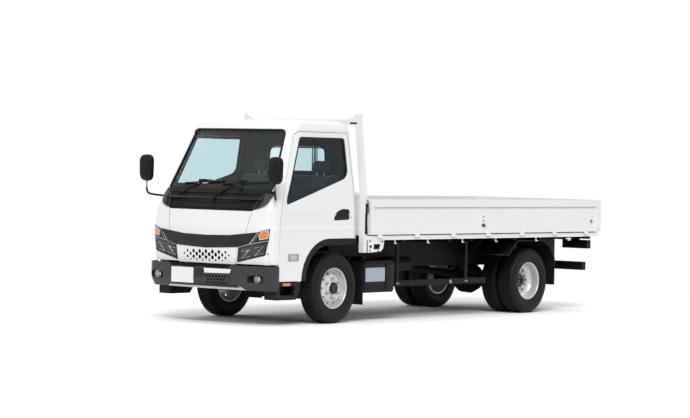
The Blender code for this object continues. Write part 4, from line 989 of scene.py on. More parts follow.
def honeycomb_fascia():
    """Thin white panel with tall six-sided air holes that shrink towards the ends, and a near-black
    sheet of painted shade behind the holes.
    """
    cover = bridged(surface("front_fascia"), "front", [(x * FASCIA_SHARE, 0.606) for x in SPREAD],
                    [(x * FASCIA_SHARE, 0.738) for x in SPREAD])
    panel = patch_mesh([(x * 0.998, 0.677 + (z - 0.677) * 0.995) for x, z in FASCIA], cover,
                       "front", -0.0032, -0.0002)
    cutters = bmesh.new()
    for column in range(-CELL_COLUMNS, CELL_COLUMNS + 1):
        x = column * CELL_PITCH
        rows = (0.706, 0.706 - CELL_RISE) if column % 2 == 0 else (0.678, 0.678 - CELL_RISE / 1.02)
        size = 1.0 - CELL_SHRINK * max(0.0, (abs(column) - 3) / 4) ** 1.3
        for number, z in enumerate(rows):
            scale = size * (0.55 if column % 2 and number else 1.0)
            middle_y = laid_on(cover, "front", x, z)[0].y
            loop = [(x + CELL_HALF_WIDTH * scale * math.sin(math.pi * k / 3),
                     z + CELL_HALF_HEIGHT * scale * math.cos(math.pi * k / 3)) for k in range(6)]
            ends = [[cutters.verts.new((u, middle_y + shift, v)) for u, v in loop]
                    for shift in (-0.03, 0.03)]
            cutters.faces.new(ends[0])
            cutters.faces.new(ends[1][::-1])
            for k in range(6):
                n = (k + 1) % 6
                cutters.faces.new((ends[0][n], ends[0][k], ends[1][k], ends[1][n]))
    piece("honeycomb_fascia", cut_away(panel, cutters), WHITE_PAINT, "cab",
          replaces=("front_fascia",), smooth=30)
    # A near-black sheet behind the holes: painted shade that makes them look deep.
    shade = both_sides([(0.0, 0.602), (0.340, 0.602), (0.365, 0.752), (0.0, 0.734)])
    patches(cover, "front", "cab")("fascia_backing", shade, -0.018, -0.014, JOINT_AND_SHADE_DARK, step=0.06)


def nose():
    """Seams of the service panel, fillers beside the fascia and the lip under the band."""
    add = patches(surface("cab_shell", "cowl_panel"), "front", "cab")
    for side, name in SIDES:
        seam = strip([(side * 0.548, 1.108), (side * 0.500, 0.884)], 0.004)
        add(f"nose_seam_{name}", seam, -0.001, 0.0003, JOINT_AND_SHADE_DARK, "body_paint", step=0.02)
    heights = (0.590, 0.640, 0.690, 0.720)
    flank = bridged(surface("cab_shell", "headlamp_left"), "front",
                    [(0.706, z) for z in heights], [(0.752, z) for z in heights])
    filler = [(0.712, 0.597), (0.748, 0.597), (0.747, 0.698), (0.738, 0.702), (0.720, 0.690)]
    add("corner_filler_left", filler, -0.010, 0.0012, WHITE_PAINT, skin=flank, both=True)
    lip = strip([(-0.545, 0.803), (-0.395, 0.765), (0.0, 0.747), (0.395, 0.765), (0.545, 0.803)],
                0.006)
    add("band_lip", lip, -0.002, 0.0035, SATIN_BLACK, skin=surface("grille_band", "front_fascia"))


def bumper_parts():
    """Blank number plate on its flat carrier, covers, lips and fog lamps, and near-black painted
    shade in the gap under the fascia and in a recess.
    """
    skin = surface("bumper")
    add = patches(skin, "front", "chassis")
    inner, outer = (-0.112, -1.1035), (-0.418, -1.1005)
    flat = BVHTree.FromPolygons([spot(*inner, 0.38), spot(*outer, 0.38), spot(*outer, 0.56),
                                 spot(*inner, 0.56)], [(0, 1, 2, 3)])
    add("number_plate", rectangle(-0.414, 0.392, -0.116, 0.544, 0.008), -0.013, 0.0010,
        PLATE_WHITE, skin=flat, step=0.03)
    # Near-black strip under the fascia: painted shadow in the gap between fascia and bumper.
    gap = rounded([(-0.436, 0.5545), (0.326, 0.5545), (0.352, 0.5835), (-0.462, 0.5835)], 0.004)
    level = upright(skin, [x * 0.64 - 0.055 for x in SPREAD], 0.5505)
    add("bumper_air_gap", gap, -0.008, 0.0, JOINT_AND_SHADE_DARK, skin=level, step=0.05)
    add("sensor_cover", rectangle(-0.100, 0.404, 0.014, 0.540, 0.006), -0.001, 0.0001,
        SATIN_BLACK, step=0.03)
    band = [(0.030, 0.500), (0.352, 0.506), (0.364, 0.546), (0.022, 0.546)]
    add("bumper_strip", rounded(band, 0.005), -0.001, 0.0018, PLATE_WHITE)
    skid = [(-0.500, 0.3475), (0.530, 0.3475), (0.428, 0.396), (-0.432, 0.3845)]
    face = upright(skin, [0.41 * x / SPREAD_HALF for x in SPREAD], 0.366)
    add("skid_lip", skid, -0.012, 0.0006, SKID_SILVER, skin=face)
    # Near-black box behind the bumper's face: painted shade in the recess.
    cover = soft_box(spot(0.040, -1.070, 0.395), spot(0.315, -1.064, 0.485), 0.002)
    piece("bumper_recess_shade", cover, JOINT_AND_SHADE_DARK, "chassis")
    for side, name in SIDES:
        centre = Vector((side * 0.660, FRONT_AXLE_Y, 0.458))
        ring = [(-1.018, 0.029), (-1.033, 0.031), (-1.035, 0.034), (-1.033, 0.037),
                (-1.000, 0.037), (-1.000, 0.029)]
        piece(f"fog_bezel_{name}", turned(ring, centre, 32, "y"), CHROME, "chassis")
        lens = [(-1.020, 0.0), (-1.020, 0.028), (-1.030, 0.0275), (-1.036, 0.020),
                (-1.039, 0.010), (-1.040, 0.0)]
        piece(f"fog_lens_{name}", turned(lens, centre, 32, "y"), CLEAR_RIBS, "chassis")


# Side of the cab

SIDE_WINDOW = rounded([(-0.770, 1.180), (0.160, 1.445), (0.212, 1.510), (0.212, 1.852),
                       (-0.480, 1.852), (-0.640, 1.500), (-0.760, 1.250)], 0.03)
HANDLE_CUP = rounded([(-0.060, 1.030), (0.190, 1.036), (0.195, 1.140), (0.080, 1.145),
                      (-0.020, 1.110)], 0.030)
HANDLE_ENDS = (-0.080, 0.0, 0.080, 0.218)    # where the flush skin over the cup is held


def doors():
    """Window seals, handles, badges and the trims inside."""
    add = patches(surface("door_glass_left"), "left", "door_left", both=True, step=0.06)
    add("window_seal_left", inset(SIDE_WINDOW, 0.0008), -0.001, 0.0115, SEAL_RUBBER,
        hole=inset(SIDE_WINDOW, 0.018))
    add("window_border_left", inset(SIDE_WINDOW, 0.016), 0.0002, 0.0010, SATIN_BLACK, "glass",
        hole=inset(SIDE_WINDOW, 0.030))
    panel = surface("door_left")
    flush = bridged(panel, "left", [(y, 1.165) for y in HANDLE_ENDS],
                    [(y, 1.015) for y in HANDLE_ENDS])
    add = patches(flush, "left", "door_left", both=True)
    add("handle_cup_left", inset(HANDLE_CUP, 0.001), -0.020, -0.0035, SEAL_RUBBER)
    add("handle_rim_left", inset(HANDLE_CUP, -0.001), -0.012, 0.0012, GRAINED_BLACK,
        hole=inset(HANDLE_CUP, 0.005))
    pull = rounded([(-0.040, 1.058), (0.180, 1.064), (0.184, 1.122), (0.070, 1.126),
                    (-0.010, 1.096)], 0.014)
    add("handle_pull_left", pull, -0.010, 0.0005, GRAINED_BLACK)
    add = patches(panel, "left", "door_left", both=True, step=0.04)
    add("door_lock_left", disc((0.215, 1.060), 0.012), -0.001, 0.002, ZINC, "black_plastic",
        step=0.01)
    add("side_tile_left", rectangle(-0.735, 0.632, -0.575, 0.704, 0.006), -0.001, 0.0025,
        TILE_GREY)
    add("side_tile_face_left", rectangle(-0.700, 0.644, -0.610, 0.692, 0.005), 0.0, 0.0035,
        SKID_SILVER)
    add = patches(panel, "inside", "door_left", both=True)
    trim = [(-0.800, 0.560), (-0.560, 0.560), (-0.400, 0.800), (-0.250, 0.900), (0.225, 0.900),
            (0.225, 1.440), (0.160, 1.425), (-0.700, 1.170), (-0.790, 1.140)]
    add("door_trim_left", rounded(trim, 0.03), -0.001, 0.010, TRIM_GREY, step=0.05)
    add("door_armrest_left", rectangle(-0.420, 0.985, 0.120, 1.045, 0.02), 0.005, 0.055,
        TRIM_GREY, step=0.02, smooth=60)


def side_marks():
    add = patches(surface("step_left"), "left", "chassis", both=True, step=0.05)
    add("side_marker_left", rectangle(-0.800, 0.394, -0.690, 0.420, 0.006), -0.001, 0.006,
        AMBER_LENS)
    add = patches(surface("side_guard_left"), "left", "chassis", both=True, step=0.02)
    add("side_reflector_left", disc((1.930, 0.375), 0.020), 0.0, 0.006, AMBER_LENS)


MIRROR_LAYERS = ((-1.0597, 0.50), (-1.0575, 0.70), (-1.051, 0.86), (-1.040, 0.95),
                 (-1.024, 0.995), (-1.008, 1.0), (-1.002, 0.985), (-1.0003, 0.95))


def mirror_head():
    """An egg-shaped head on its bent arm in place of the plain one."""
    outline = rounded([(0.777, 1.382), (0.933, 1.382), (0.943, 1.648), (0.772, 1.648)], 0.07, 7)
    centre = Vector((0.857, 1.515))
    head = bmesh.new()
    rings = []
    for y, scale in MIRROR_LAYERS:
        loop = [centre + (Vector(p) - centre) * scale for p in outline]
        rings.append([head.verts.new(spot(x, y, z)) for x, z in loop])
    bands(head, rings)
    head.faces.new(rings[0])
    head.faces.new(rings[-1][::-1])
    arm = bent_rod([spot(0.735, -0.862, 1.236), spot(0.760, -0.905, 1.240),
                    spot(0.800, -0.955, 1.246), spot(0.838, -0.995, 1.256),
                    spot(0.848, -1.012, 1.272), spot(0.852, -1.020, 1.300),
                    spot(0.852, -1.020, 1.400)], 0.0105, 14)
    piece("mirror_head_left", merged(head, arm), GRAINED_BLACK, "cab",
          replaces=("mirror_left",), smooth=50, both=True)


def mirrors():
    """Glass and seam of both heads, and the round mirror that shows the ground in front."""
    mirror_head()
    skin = surface("mirror_left")
    face = rounded([(0.792, 1.396), (0.921, 1.396), (0.929, 1.634), (0.787, 1.634)], 0.035)
    patches(skin, "rear", "cab")("mirror_glass_left", face, -0.001, 0.0020, MIRROR_FACE,
                                 both=True, step=0.05)
    seam = strip([(0.790, 1.460), (0.930, 1.466)], 0.003)
    patches(skin, "front", "cab")("mirror_seam_left", seam, -0.001, 0.0004, JOINT_AND_SHADE_DARK, both=True)
    arm = bent_rod([spot(0.640, -0.975, 1.262), spot(0.560, -1.010, 1.280),
                    spot(0.480, -1.030, 1.310), spot(0.425, -1.036, 1.330)], 0.007)
    piece("ground_mirror_arm", arm, GRAINED_BLACK, "cab")
    shell = [(-0.020, 0.0), (-0.020, 0.030), (-0.008, 0.046), (0.006, 0.050), (0.012, 0.048),
             (0.012, 0.0)]
    piece("ground_mirror", turned(shell, spot(0.405, -1.045, 1.335), 32, "y"), GRAINED_BLACK,
          "cab")


# Tyres and wheels

TYRE_HALF = 0.0975
RIM_HALF = 0.0745
FRONT_TRACK, INNER_TRACK, OUTER_TRACK = 0.692, 0.5025, 0.7325
WHEEL_NUTS = 6
TREAD_BLOCKS = 56
# Row, distance from the middle, block and slant
TREAD_ROWS = (("shoulder", 0.0600, (0.011, 0.0300, 0.0230), 0.12),
              ("inner", 0.0315, (0.011, 0.0300, 0.0220), 0.30))


def tyre(name, centre_x, y, body):
    """Carcass with a ribbed shoulder, and two rows of tread blocks on each side of a rib."""
    half, top = TYRE_HALF, TYRE_RADIUS
    side = [(half - 0.022, 0.2046), (half - 0.012, 0.210), (half - 0.006, 0.222),
            (half - 0.0035, 0.236), (half - 0.0045, 0.240), (half - 0.001, 0.246),
            (half, 0.262), (half, 0.276), (half + 0.0008, 0.279), (half + 0.0008, 0.286),
            (half - 0.0006, 0.289), (half - 0.003, 0.306), (half - 0.008, 0.322),
            (half - 0.013, 0.331), (half - 0.020, top - 0.0135), (half - 0.030, top - 0.0105)]
    crown = [(0.040, top - 0.010), (0.016, top - 0.010), (0.013, top - 0.0015),
             (0.006, top - 0.0012), (0.004, top - 0.007), (0.0, top - 0.007)]
    outer = side + crown
    loop = outer + [(-x, r) for x, r in reversed(outer[:-1])]
    centre = spot(centre_x, y, AXLE_Z)
    piece(f"{name}_left", turned(loop, centre, 96), RUBBER, body,
          replaces=(f"{name}_left",), both=True, smooth=40)
    for row, aside, block, slant in TREAD_ROWS:
        for mirror, side_name in SIDES:
            place = Vector((centre.x * mirror, centre.y, centre.z))
            obj = grown(f"{name}_{row}_blocks_{side_name}", TREAD, RUBBER,
                        {"Count": TREAD_BLOCKS, "Radius": top - 0.0068, "Aside": aside,
                         "Block": block, "Slant": slant, "Centre": place}, soft=0.0015)
            dress(obj, RUBBER, body.replace("left", side_name))


def softened(profile, radius):
    """An open profile with its inner corners cut round."""
    loop = rounded(profile, radius, 2)
    return [profile[0]] + loop[3:-3] + [profile[-1]]


def drilled(bm, centres, radius, reach):
    """The solid with round holes through it along x."""
    cutters = bmesh.new()
    for centre in centres:
        place = Matrix.Translation(centre) @ Matrix.Rotation(math.pi / 2, 4, "Y")
        bmesh.ops.create_cone(cutters, cap_ends=True, segments=24, radius1=radius,
                              radius2=radius, depth=reach, matrix=place)
    return cut_away(bm, cutters)


def ring_of(count, radius, x, y, turn=0.0):
    """Even spots on a circle round a wheel's axle."""
    return [spot(x, y + radius * math.cos(2 * math.pi * (k + turn) / count), 0)
            + Vector((0, 0, AXLE_Z + radius * math.sin(2 * math.pi * (k + turn) / count)))
            for k in range(count)]


def wheel_details(name, nut_x, valve_x, nut_radius, y, body):
    """Wheel nuts on cones, and a tyre valve."""
    nuts = ring_of(WHEEL_NUTS, nut_radius, nut_x, y, 0.5)
    side_studs(f"{name}_wheel_nuts", nuts, ZINC, body, 0.0125, 0.020)
    bolts = [p + Vector((0.012, 0, 0)) for p in nuts]
    side_studs(f"{name}_wheel_studs", bolts, CAST_METAL, body, 0.0055, 0.012, 12,
               slot="engine_metal")
    start = ring_of(1, 0.186, valve_x, y, 0.31)[0]
    inner = ring_of(1, 0.150, valve_x + 0.042, y, 0.31)[0]
    piece(f"{name}_valve_left", bent_rod([start, (start * 0.4 + inner * 0.6), inner], 0.0045),
          SEAL_RUBBER, body, both=True)


def front_wheel():
    c, half = FRONT_TRACK, RIM_HALF
    body = "front_wheel_left"
    profile = [(c + 0.0003, 0), (c + 0.0003, 0.050), (c + 0.030, 0.085), (c + 0.018, 0.150),
               (c - 0.030, 0.178), (c - half, 0.190), (c - half - 0.004, 0.204),
               (c - half + 0.006, 0.204), (c - half + 0.014, 0.1985), (c + half - 0.012, 0.1985),
               (c + half - 0.004, 0.204), (c + half + 0.0035, 0.2045), (c + half + 0.0045, 0.200),
               (c + half, 0.1935), (c + 0.052, 0.190), (c + 0.030, 0.183), (c + 0.014, 0.176),
               (c + 0.024, 0.163), (c + 0.044, 0.142), (c + 0.0535, 0.118), (c + 0.0515, 0.080),
               (c + 0.060, 0.068), (c + 0.070, 0.064), (c + 0.070, 0)]
    dish = turned(softened(profile, 0.005), spot(0, 0, AXLE_Z), 96)
    holes = ring_of(10, 0.147, c + 0.030, 0)
    piece("front_wheel_left", drilled(dish, holes, 0.0135, 0.11), WHEEL_SILVER, body,
          replaces=("front_wheel_left",), both=True, smooth=32)
    cap = [(c + 0.050, 0), (c + 0.050, 0.061), (c + 0.072, 0.0605), (c + 0.088, 0.054),
           (c + 0.094, 0.045), (c + 0.0945, 0.036), (c + 0.0915, 0.034), (c + 0.0915, 0)]
    piece("front_hub_cap_left", turned(softened(cap, 0.003), spot(0, 0, AXLE_Z), 48),
          SATIN_BLACK, body, both=True)
    wheel_details("front", c + 0.058, c + 0.016, 0.0985, 0, body)


def rear_wheels():
    """Both rims of a pair as one turned form, with the hub that stands in its dish."""
    a, b, y, half = INNER_TRACK, OUTER_TRACK, REAR_AXLE, RIM_HALF
    body = "rear_wheels_left"
    profile = [(0.4403, 0), (0.4403, 0.070), (0.5875, 0.100), (0.574, 0.160),
               (a - half, 0.186), (a - half - 0.004, 0.204), (a - half + 0.006, 0.204),
               (a - half + 0.014, 0.1985), (a + half - 0.012, 0.1985), (a + half, 0.204),
               (a + half + 0.004, 0.200), (0.594, 0.186), (0.6175, 0.178),
               (b - half - 0.004, 0.204), (b - half + 0.006, 0.204), (b - half + 0.014, 0.1985),
               (b + half - 0.012, 0.1985), (b + half - 0.004, 0.204), (b + half + 0.0035, 0.2045),
               (b + half + 0.0045, 0.200), (b + half, 0.1935), (b + 0.040, 0.190),
               (b - 0.004, 0.184), (0.706, 0.172), (0.693, 0.156), (0.688, 0.142),
               (0.688, 0.085), (0.692, 0.078), (0.6985, 0.070), (0.7010, 0.058), (0.7020, 0.030),
               (0.7060, 0.026), (0.7060, 0)]
    dish = turned(softened(profile, 0.005), spot(0, y, AXLE_Z), 96)
    piece("rear_wheel_left", drilled(dish, ring_of(6, 0.121, 0.690, y), 0.0200, 0.10),
          WHEEL_SILVER, body, replaces=("rear_wheel_left",), both=True, smooth=32)
    hub = [(0.670, 0), (0.670, 0.0700), (0.700, 0.0690), (0.7125, 0.062), (0.7165, 0.050),
           (0.7175, 0.034), (0.7215, 0.029), (0.7215, 0)]
    piece("rear_hub_left", turned(softened(hub, 0.003), spot(0, y, AXLE_Z), 48), CHASSIS_BLACK,
          body, both=True)
    wheel_details("rear", 0.6955, 0.700, 0.0830, y, body)
    side_studs("rear_axle_bolts", ring_of(8, 0.047, 0.7172, y), ZINC, body, 0.0055, 0.006)


# Deck, gates and what hangs under them

DECK_FRONT, DECK_REAR, DECK_TOP = 0.401, 4.540, 0.905
GATE_FACE = 0.895
SIDE_HINGES = (0.560, 1.180, 1.800, 2.420, 3.040, 3.660, 4.280)
BOARDS = 12
BOARD_JOINT = 0.003
SCREW_ROWS = (0.440, 1.030, 1.620, 2.210, 2.900, 3.500, 4.100, 4.500)


def deck():
    middle_y = (DECK_FRONT + DECK_REAR) / 2
    outer = BOARD_PITCH * (BOARDS - 1) / 2
    slats("deck_boards", BOARDS, spot(-outer, middle_y, 0.890), spot(outer, middle_y, 0.890),
          (BOARD_PITCH - BOARD_JOINT, DECK_REAR - DECK_FRONT, 0.030), TIMBER, "chassis",
          replaces=("deck_floor",), soft=0.002)
    screws = [spot(BOARD_PITCH * (k - BOARDS / 2 + 0.5) + shift, y, DECK_TOP - 0.0004)
              for k in range(BOARDS) for shift in (-0.035, 0.035) for y in SCREW_ROWS]
    studs("deck_screws", screws, (0, 0, 1), ZINC, "chassis", 0.0055, 0.0012, 12)


def headboard_details():
    """Bolts of the middle posts, and catch, channel and latch of the corner posts, with painted
    shade for the slot in each.
    """
    skin = surface("headboard")
    for x, side in ((-0.190, "right"), (0.190, "left")):
        for z, name in ((1.310, "low"), (1.985, "high")):
            spots = [laid_on(skin, "front", x + shift, z)[0] for shift in (-0.030, 0.030)]
            studs(f"headboard_bolts_{name}_{side}", spots, (0, -1, 0), ZINC, "chassis", 0.006,
                  0.005)
    add = patches(skin, "left", "chassis", both=True)
    add("post_catch_left", rectangle(0.352, 1.095, 0.392, 1.205, 0.008), -0.0005, 0.004,
        DECK_PAINT)
    channel = soft_box(spot(0.8595, 0.364, 0.890), spot(0.8690, 0.392, 1.200), 0.003)
    piece("post_channel_left", channel, CHASSIS_BLACK, "chassis", both=True)
    hook = bent_rod([spot(0.868, 0.378, 1.232), spot(0.880, 0.378, 1.226),
                     spot(0.884, 0.379, 1.190), spot(0.882, 0.386, 1.130),
                     spot(0.876, 0.390, 1.100)], 0.0055)
    piece("post_latch_left", hook, CAST_METAL, "chassis", "black_steel", both=True)
    add = patches(skin, "front", "chassis", both=True)
    # The slot is a near-black patch on the post: painted shade inside it.
    add("post_slot_left", rectangle(0.655, 1.996, 0.745, 2.014, 0.006), -0.001, 0.0006,
        JOINT_AND_SHADE_DARK, "black_steel")


def gates():
    """Latch, bolts and reflector of the side gates with a painted shadow under their fold, and the
    tail gate's latches.
    """
    body = "side_gate_left"
    add = patches(surface(body), "left", body, both=True)
    # Grey strip along the gate under its top: painted shadow of the pressed fold.
    fold_shadow = strip([(0.458, 1.161), (4.492, 1.161)], 0.006)
    add("gate_fold_left", fold_shadow, -0.001, 0.0006, TILE_GREY, step=0.5)
    add("gate_latch_plate_left", rectangle(2.284, 0.935, 2.376, 1.083, 0.012), -0.001, 0.0020,
        DECK_PAINT, step=0.05)
    lever = merged(
        bent_rod([spot(GATE_FACE + 0.002, 2.292, 0.975), spot(GATE_FACE + 0.010, 2.300, 0.972),
                  spot(GATE_FACE + 0.011, 2.360, 0.966), spot(GATE_FACE + 0.002, 2.368, 0.966)],
                 0.0055),
        soft_box(spot(GATE_FACE, 2.316, 0.952), spot(GATE_FACE + 0.009, 2.344, 0.988), 0.003))
    piece("gate_lever_left", lever, CAST_METAL, body, both=True)
    side_studs("gate_latch_bolts", [spot(GATE_FACE + 0.001, 2.330, z) for z in (1.020, 1.062)],
               CAST_METAL, body, 0.0065, 0.004)
    side_studs("gate_hinge_bolts", [spot(GATE_FACE + 0.0004, y + dy, 0.898)
                                    for y in SIDE_HINGES for dy in (-0.022, 0.022)],
               ZINC, body, 0.0055, 0.004)
    ring = [(-0.004, 0), (-0.004, 0.020), (0.002, 0.020), (0.003, 0.017), (0.003, 0)]
    for mirror, side in SIDES:
        glow = turned([(d * mirror, r) for d, r in ring],
                      spot(mirror * (GATE_FACE - 0.006), 4.400, 1.000), 24)
        piece(f"gate_reflector_{side}", glow, RED_LENS, f"side_gate_{side}")
    grip = bent_rod([spot(GATE_FACE - 0.030, 4.581, 1.200), spot(GATE_FACE - 0.030, 4.592, 1.195),
                     spot(GATE_FACE - 0.028, 4.593, 1.150), spot(GATE_FACE - 0.025, 4.590, 1.110)],
                    0.0055)
    piece("tail_latch_left", grip, CAST_METAL, "tail_gate", both=True)
    plate = soft_box(spot(GATE_FACE - 0.060, 4.5795, 1.165), spot(GATE_FACE - 0.008, 4.5835, 1.232),
                     0.0015)
    piece("tail_latch_plate_left", plate, DECK_PAINT, "tail_gate", both=True)


CORNER_BOLTS = ((0.425, 0.820), (0.425, 0.770), (0.425, 0.724), (0.625, 0.815), (0.560, 0.724))


def corner_plates():
    skin = surface("deck_rim")
    side_studs("corner_bolts", [laid_on(skin, "left", y, z)[0] for y, z in CORNER_BOLTS],
               CAST_METAL, "chassis", 0.0075, 0.005, slot="black_steel")


def under_deck():
    """Covers and ribs of the battery box, bolts of the guards, straps and cap of the tank."""
    body = "chassis"
    for name, low, high, radius, material in (
            ("battery_panel", (0.7565, 0.508, 0.402), (0.7675, 0.822, 0.545), 0.004, PANEL_BLUE),
            ("battery_lid", (0.425, 0.505, 0.596), (0.752, 0.975, 0.612), 0.006, GRAINED_BLACK),
            ("battery_side_cover", (0.7565, 0.836, 0.310), (0.7700, 0.968, 0.585), 0.006,
             GRAINED_BLACK)):
        piece(name, soft_box(spot(*low), spot(*high), radius), material, body)
    slats("battery_ribs", 9, spot(0.759, 0.520, 0.345), spot(0.759, 0.790, 0.345),
          (0.008, 0.010, 0.070), GRAINED_BLACK, body, soft=0.002)
    studs("battery_bolts", [spot(0.7672, y, z) for y in (0.525, 0.787) for z in (0.415, 0.532)],
          (1, 0, 0), ZINC, body, 0.0055, 0.004)
    guard = surface("side_guard_left")
    side_studs("guard_bolts", [laid_on(guard, "left", y + dy, 0.375)[0] for y in (1.030, 2.210)
                               for dy in (-0.014, 0.014)], ZINC, body, 0.006, 0.005)
    low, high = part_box("fuel_tank")
    for number, y in enumerate((1.230, 1.690), 1):
        band = soft_box(Vector((low.x - 0.003, along(y - 0.022), low.z - 0.003)),
                        Vector((high.x + 0.001, along(y + 0.022), high.z + 0.004)), 0.02, 3)
        piece(f"tank_strap_{number}", band, ZINC, body)
    neck = [(0.0, 0), (0.0, 0.032), (0.028, 0.032), (0.030, 0.040), (0.046, 0.040), (0.050, 0.036),
            (0.050, 0)]
    spout = turned(neck, Vector((low.x + 0.090, along(1.460), high.z - 0.006)), 32, "z")
    piece("tank_cap", spout, GRAINED_BLACK, body)


def rear_lamps():
    add = patches(surface("rear_lamp_left"), "rear", "chassis", both=True, step=0.05)
    for name, low, high, material in (("brake", 0.640, 0.808, RED_LENS),
                                      ("turn", 0.565, 0.634, AMBER_LENS),
                                      ("reverse", 0.490, 0.559, CLEAR_RIBS)):
        add(f"{name}_lens_left", rectangle(low, 0.702, high, 0.774, 0.012), -0.001, 0.010,
            material)


# Inside of the cab

def steering_wheel():
    """Rim, three spokes and a hub in place of the plain wheel."""
    tilt = Matrix.Rotation(-math.atan2(0.5, 0.866), 4, "X")
    place = Matrix.Translation(spot(-0.380, -0.470, 1.300)) @ tilt
    rim = bmesh.new()
    rings = []
    for k in range(64):
        angle = 2 * math.pi * k / 64
        out = Vector((math.cos(angle), math.sin(angle), 0))
        rings.append([rim.verts.new(out * (0.195 + 0.0135 * math.cos(t))
                                    + Vector((0, 0, 0.0135 * math.sin(t))))
                      for t in (2 * math.pi * i / 12 for i in range(12))])
    bands(rim, rings + rings[:1])
    spokes = []
    for degrees in (90, 210, 330):
        angle = math.radians(degrees)
        out = Vector((math.cos(angle), math.sin(angle), 0))
        spokes.append(bent_rod([out * 0.035 - Vector((0, 0, 0.012)),
                                out * 0.120 - Vector((0, 0, 0.006)), out * 0.190], 0.010))
    pad = turned(softened([(-0.040, 0), (-0.040, 0.046), (0.004, 0.062), (0.012, 0.052),
                           (0.014, 0)], 0.006), Vector((0, 0, 0)), 40, "z")
    wheel = merged(rim, pad, *spokes)
    bmesh.ops.transform(wheel, matrix=place, verts=wheel.verts)
    piece("steering_wheel_rim", wheel, GRAINED_BLACK, "steering_wheel",
          replaces=("steering_wheel",), smooth=45)


def cab_lining():
    """Rear window frame, roof lining, instrument hood, vents and gear lever."""
    ring = rounded(both_sides([(0.398, 1.442), (0.378, 1.758)]), 0.05, 4)
    opening = rounded(both_sides([(0.372, 1.515), (0.362, 1.745)]), 0.05, 4)
    add = patches(surface("rear_window"), "front", "cab")
    add("rear_window_seal", ring, 0.0, 0.008, SEAL_RUBBER, hole=opening, step=0.2)
    for x, side in ((-0.205, "right"), (0.205, "left")):
        bar = soft_box(spot(x - 0.006, 0.296, 1.445), spot(x + 0.006, 0.302, 1.755), 0.002)
        piece(f"rear_window_bar_{side}", bar, SEAL_RUBBER, "cab")
    lining = soft_box(spot(-0.550, -0.430, 1.960), spot(0.550, 0.240, 1.9745), 0.006)
    piece("roof_lining", lining, LINING, "cab")
    hood = soft_box(spot(-0.560, -0.880, 1.225), spot(-0.200, -0.640, 1.300), 0.030, 4)
    piece("instrument_hood", hood, TRIM_GREY, "cab", smooth=60)
    top = soft_box(spot(-0.640, -0.975, 1.222), spot(0.640, -0.640, 1.246), 0.010, 3)
    piece("dashboard_top", top, TRIM_GREY, "cab", smooth=60)
    slats("dashboard_vents", 9, spot(0.020, -0.596, 1.120), spot(0.020, -0.596, 1.190),
          (0.200, 0.010, 0.004), GRAINED_BLACK, "cab", turn=(0.4, 0, 0))
    lever = bent_rod([spot(-0.060, -0.590, 1.020), spot(-0.070, -0.520, 1.060),
                      spot(-0.075, -0.480, 1.120)], 0.008)
    piece("gear_lever", lever, GRAINED_BLACK, "cab")
    knob = turned(softened([(-0.022, 0), (-0.022, 0.012), (-0.008, 0.022), (0.014, 0.022),
                            (0.022, 0.012), (0.022, 0)], 0.006), spot(-0.076, -0.476, 1.135),
                  24, "z")
    piece("gear_knob", knob, SATIN_BLACK, "cab")


PUFF_FRAMES = 20
PUFF_PRESSURE = 4.0
HEAD_RESTS = (("driver", -0.390), ("bench", 0.390))


def frozen(obj):
    """Replace the object's mesh by what its modifiers make of it."""
    graph = bpy.context.evaluated_depsgraph_get()
    obj.data = bpy.data.meshes.new_from_object(obj.evaluated_get(graph))
    obj.modifiers.clear()


def blown_up(obj, floor_z, puff):
    """Let a cloth simulation push the skin out, by puff at most and hardly downwards."""
    cloth = obj.modifiers.new("cloth", "CLOTH")
    cloth.settings.use_pressure = True
    cloth.settings.uniform_pressure_force = PUFF_PRESSURE
    cloth.settings.effector_weights.gravity = 0.0
    for number in range(1, PUFF_FRAMES + 1):
        bpy.context.scene.frame_set(number)
    graph = bpy.context.evaluated_depsgraph_get()
    blown = [v.co.copy() for v in obj.evaluated_get(graph).data.vertices]
    obj.modifiers.clear()
    bpy.context.scene.frame_set(1)
    for vert, last in zip(obj.data.vertices, blown):
        move = last - vert.co
        if move.length > puff:
            move = move.normalized() * puff
        if last.z < floor_z:
            move.z = max(move.z, -0.002)
        vert.co += move


def cushion(name, low, high, lean, voxel, puff, channels=()):
    """A padded block blown up by a cloth simulation, with sewn channels pressed in.

    A channel is its axis, place, half width and depth.
    """
    bm = soft_box(low, high, 0.035, 3)
    height = high.z - low.z
    for vert in bm.verts:
        vert.co.y += lean * (vert.co.z - low.z) / height
    obj = mesh_object(name, bm)
    bm.free()
    remesh = obj.modifiers.new("even", "REMESH")
    remesh.mode, remesh.voxel_size = "VOXEL", voxel
    frozen(obj)
    blown_up(obj, low.z, puff)
    standing = height > 0.25
    centre = (low + high) / 2
    for axis, place, width, depth in channels:
        for vert in obj.data.vertices:
            gap = abs(vert.co[axis] - place) / width
            facing = vert.co.y < centre.y + lean / 2 if standing else vert.co.z > centre.z
            if gap < 1 and facing:
                dip = depth * (math.cos(gap * math.pi) + 1) / 2
                vert.co += Vector((0, dip, 0)) if standing else Vector((0, 0, -dip))
    smooth = obj.modifiers.new("smooth", "SUBSURF")
    smooth.levels = smooth.render_levels = 1
    dress(obj, SEAT_CLOTH, "cab", smooth=180)
    return obj


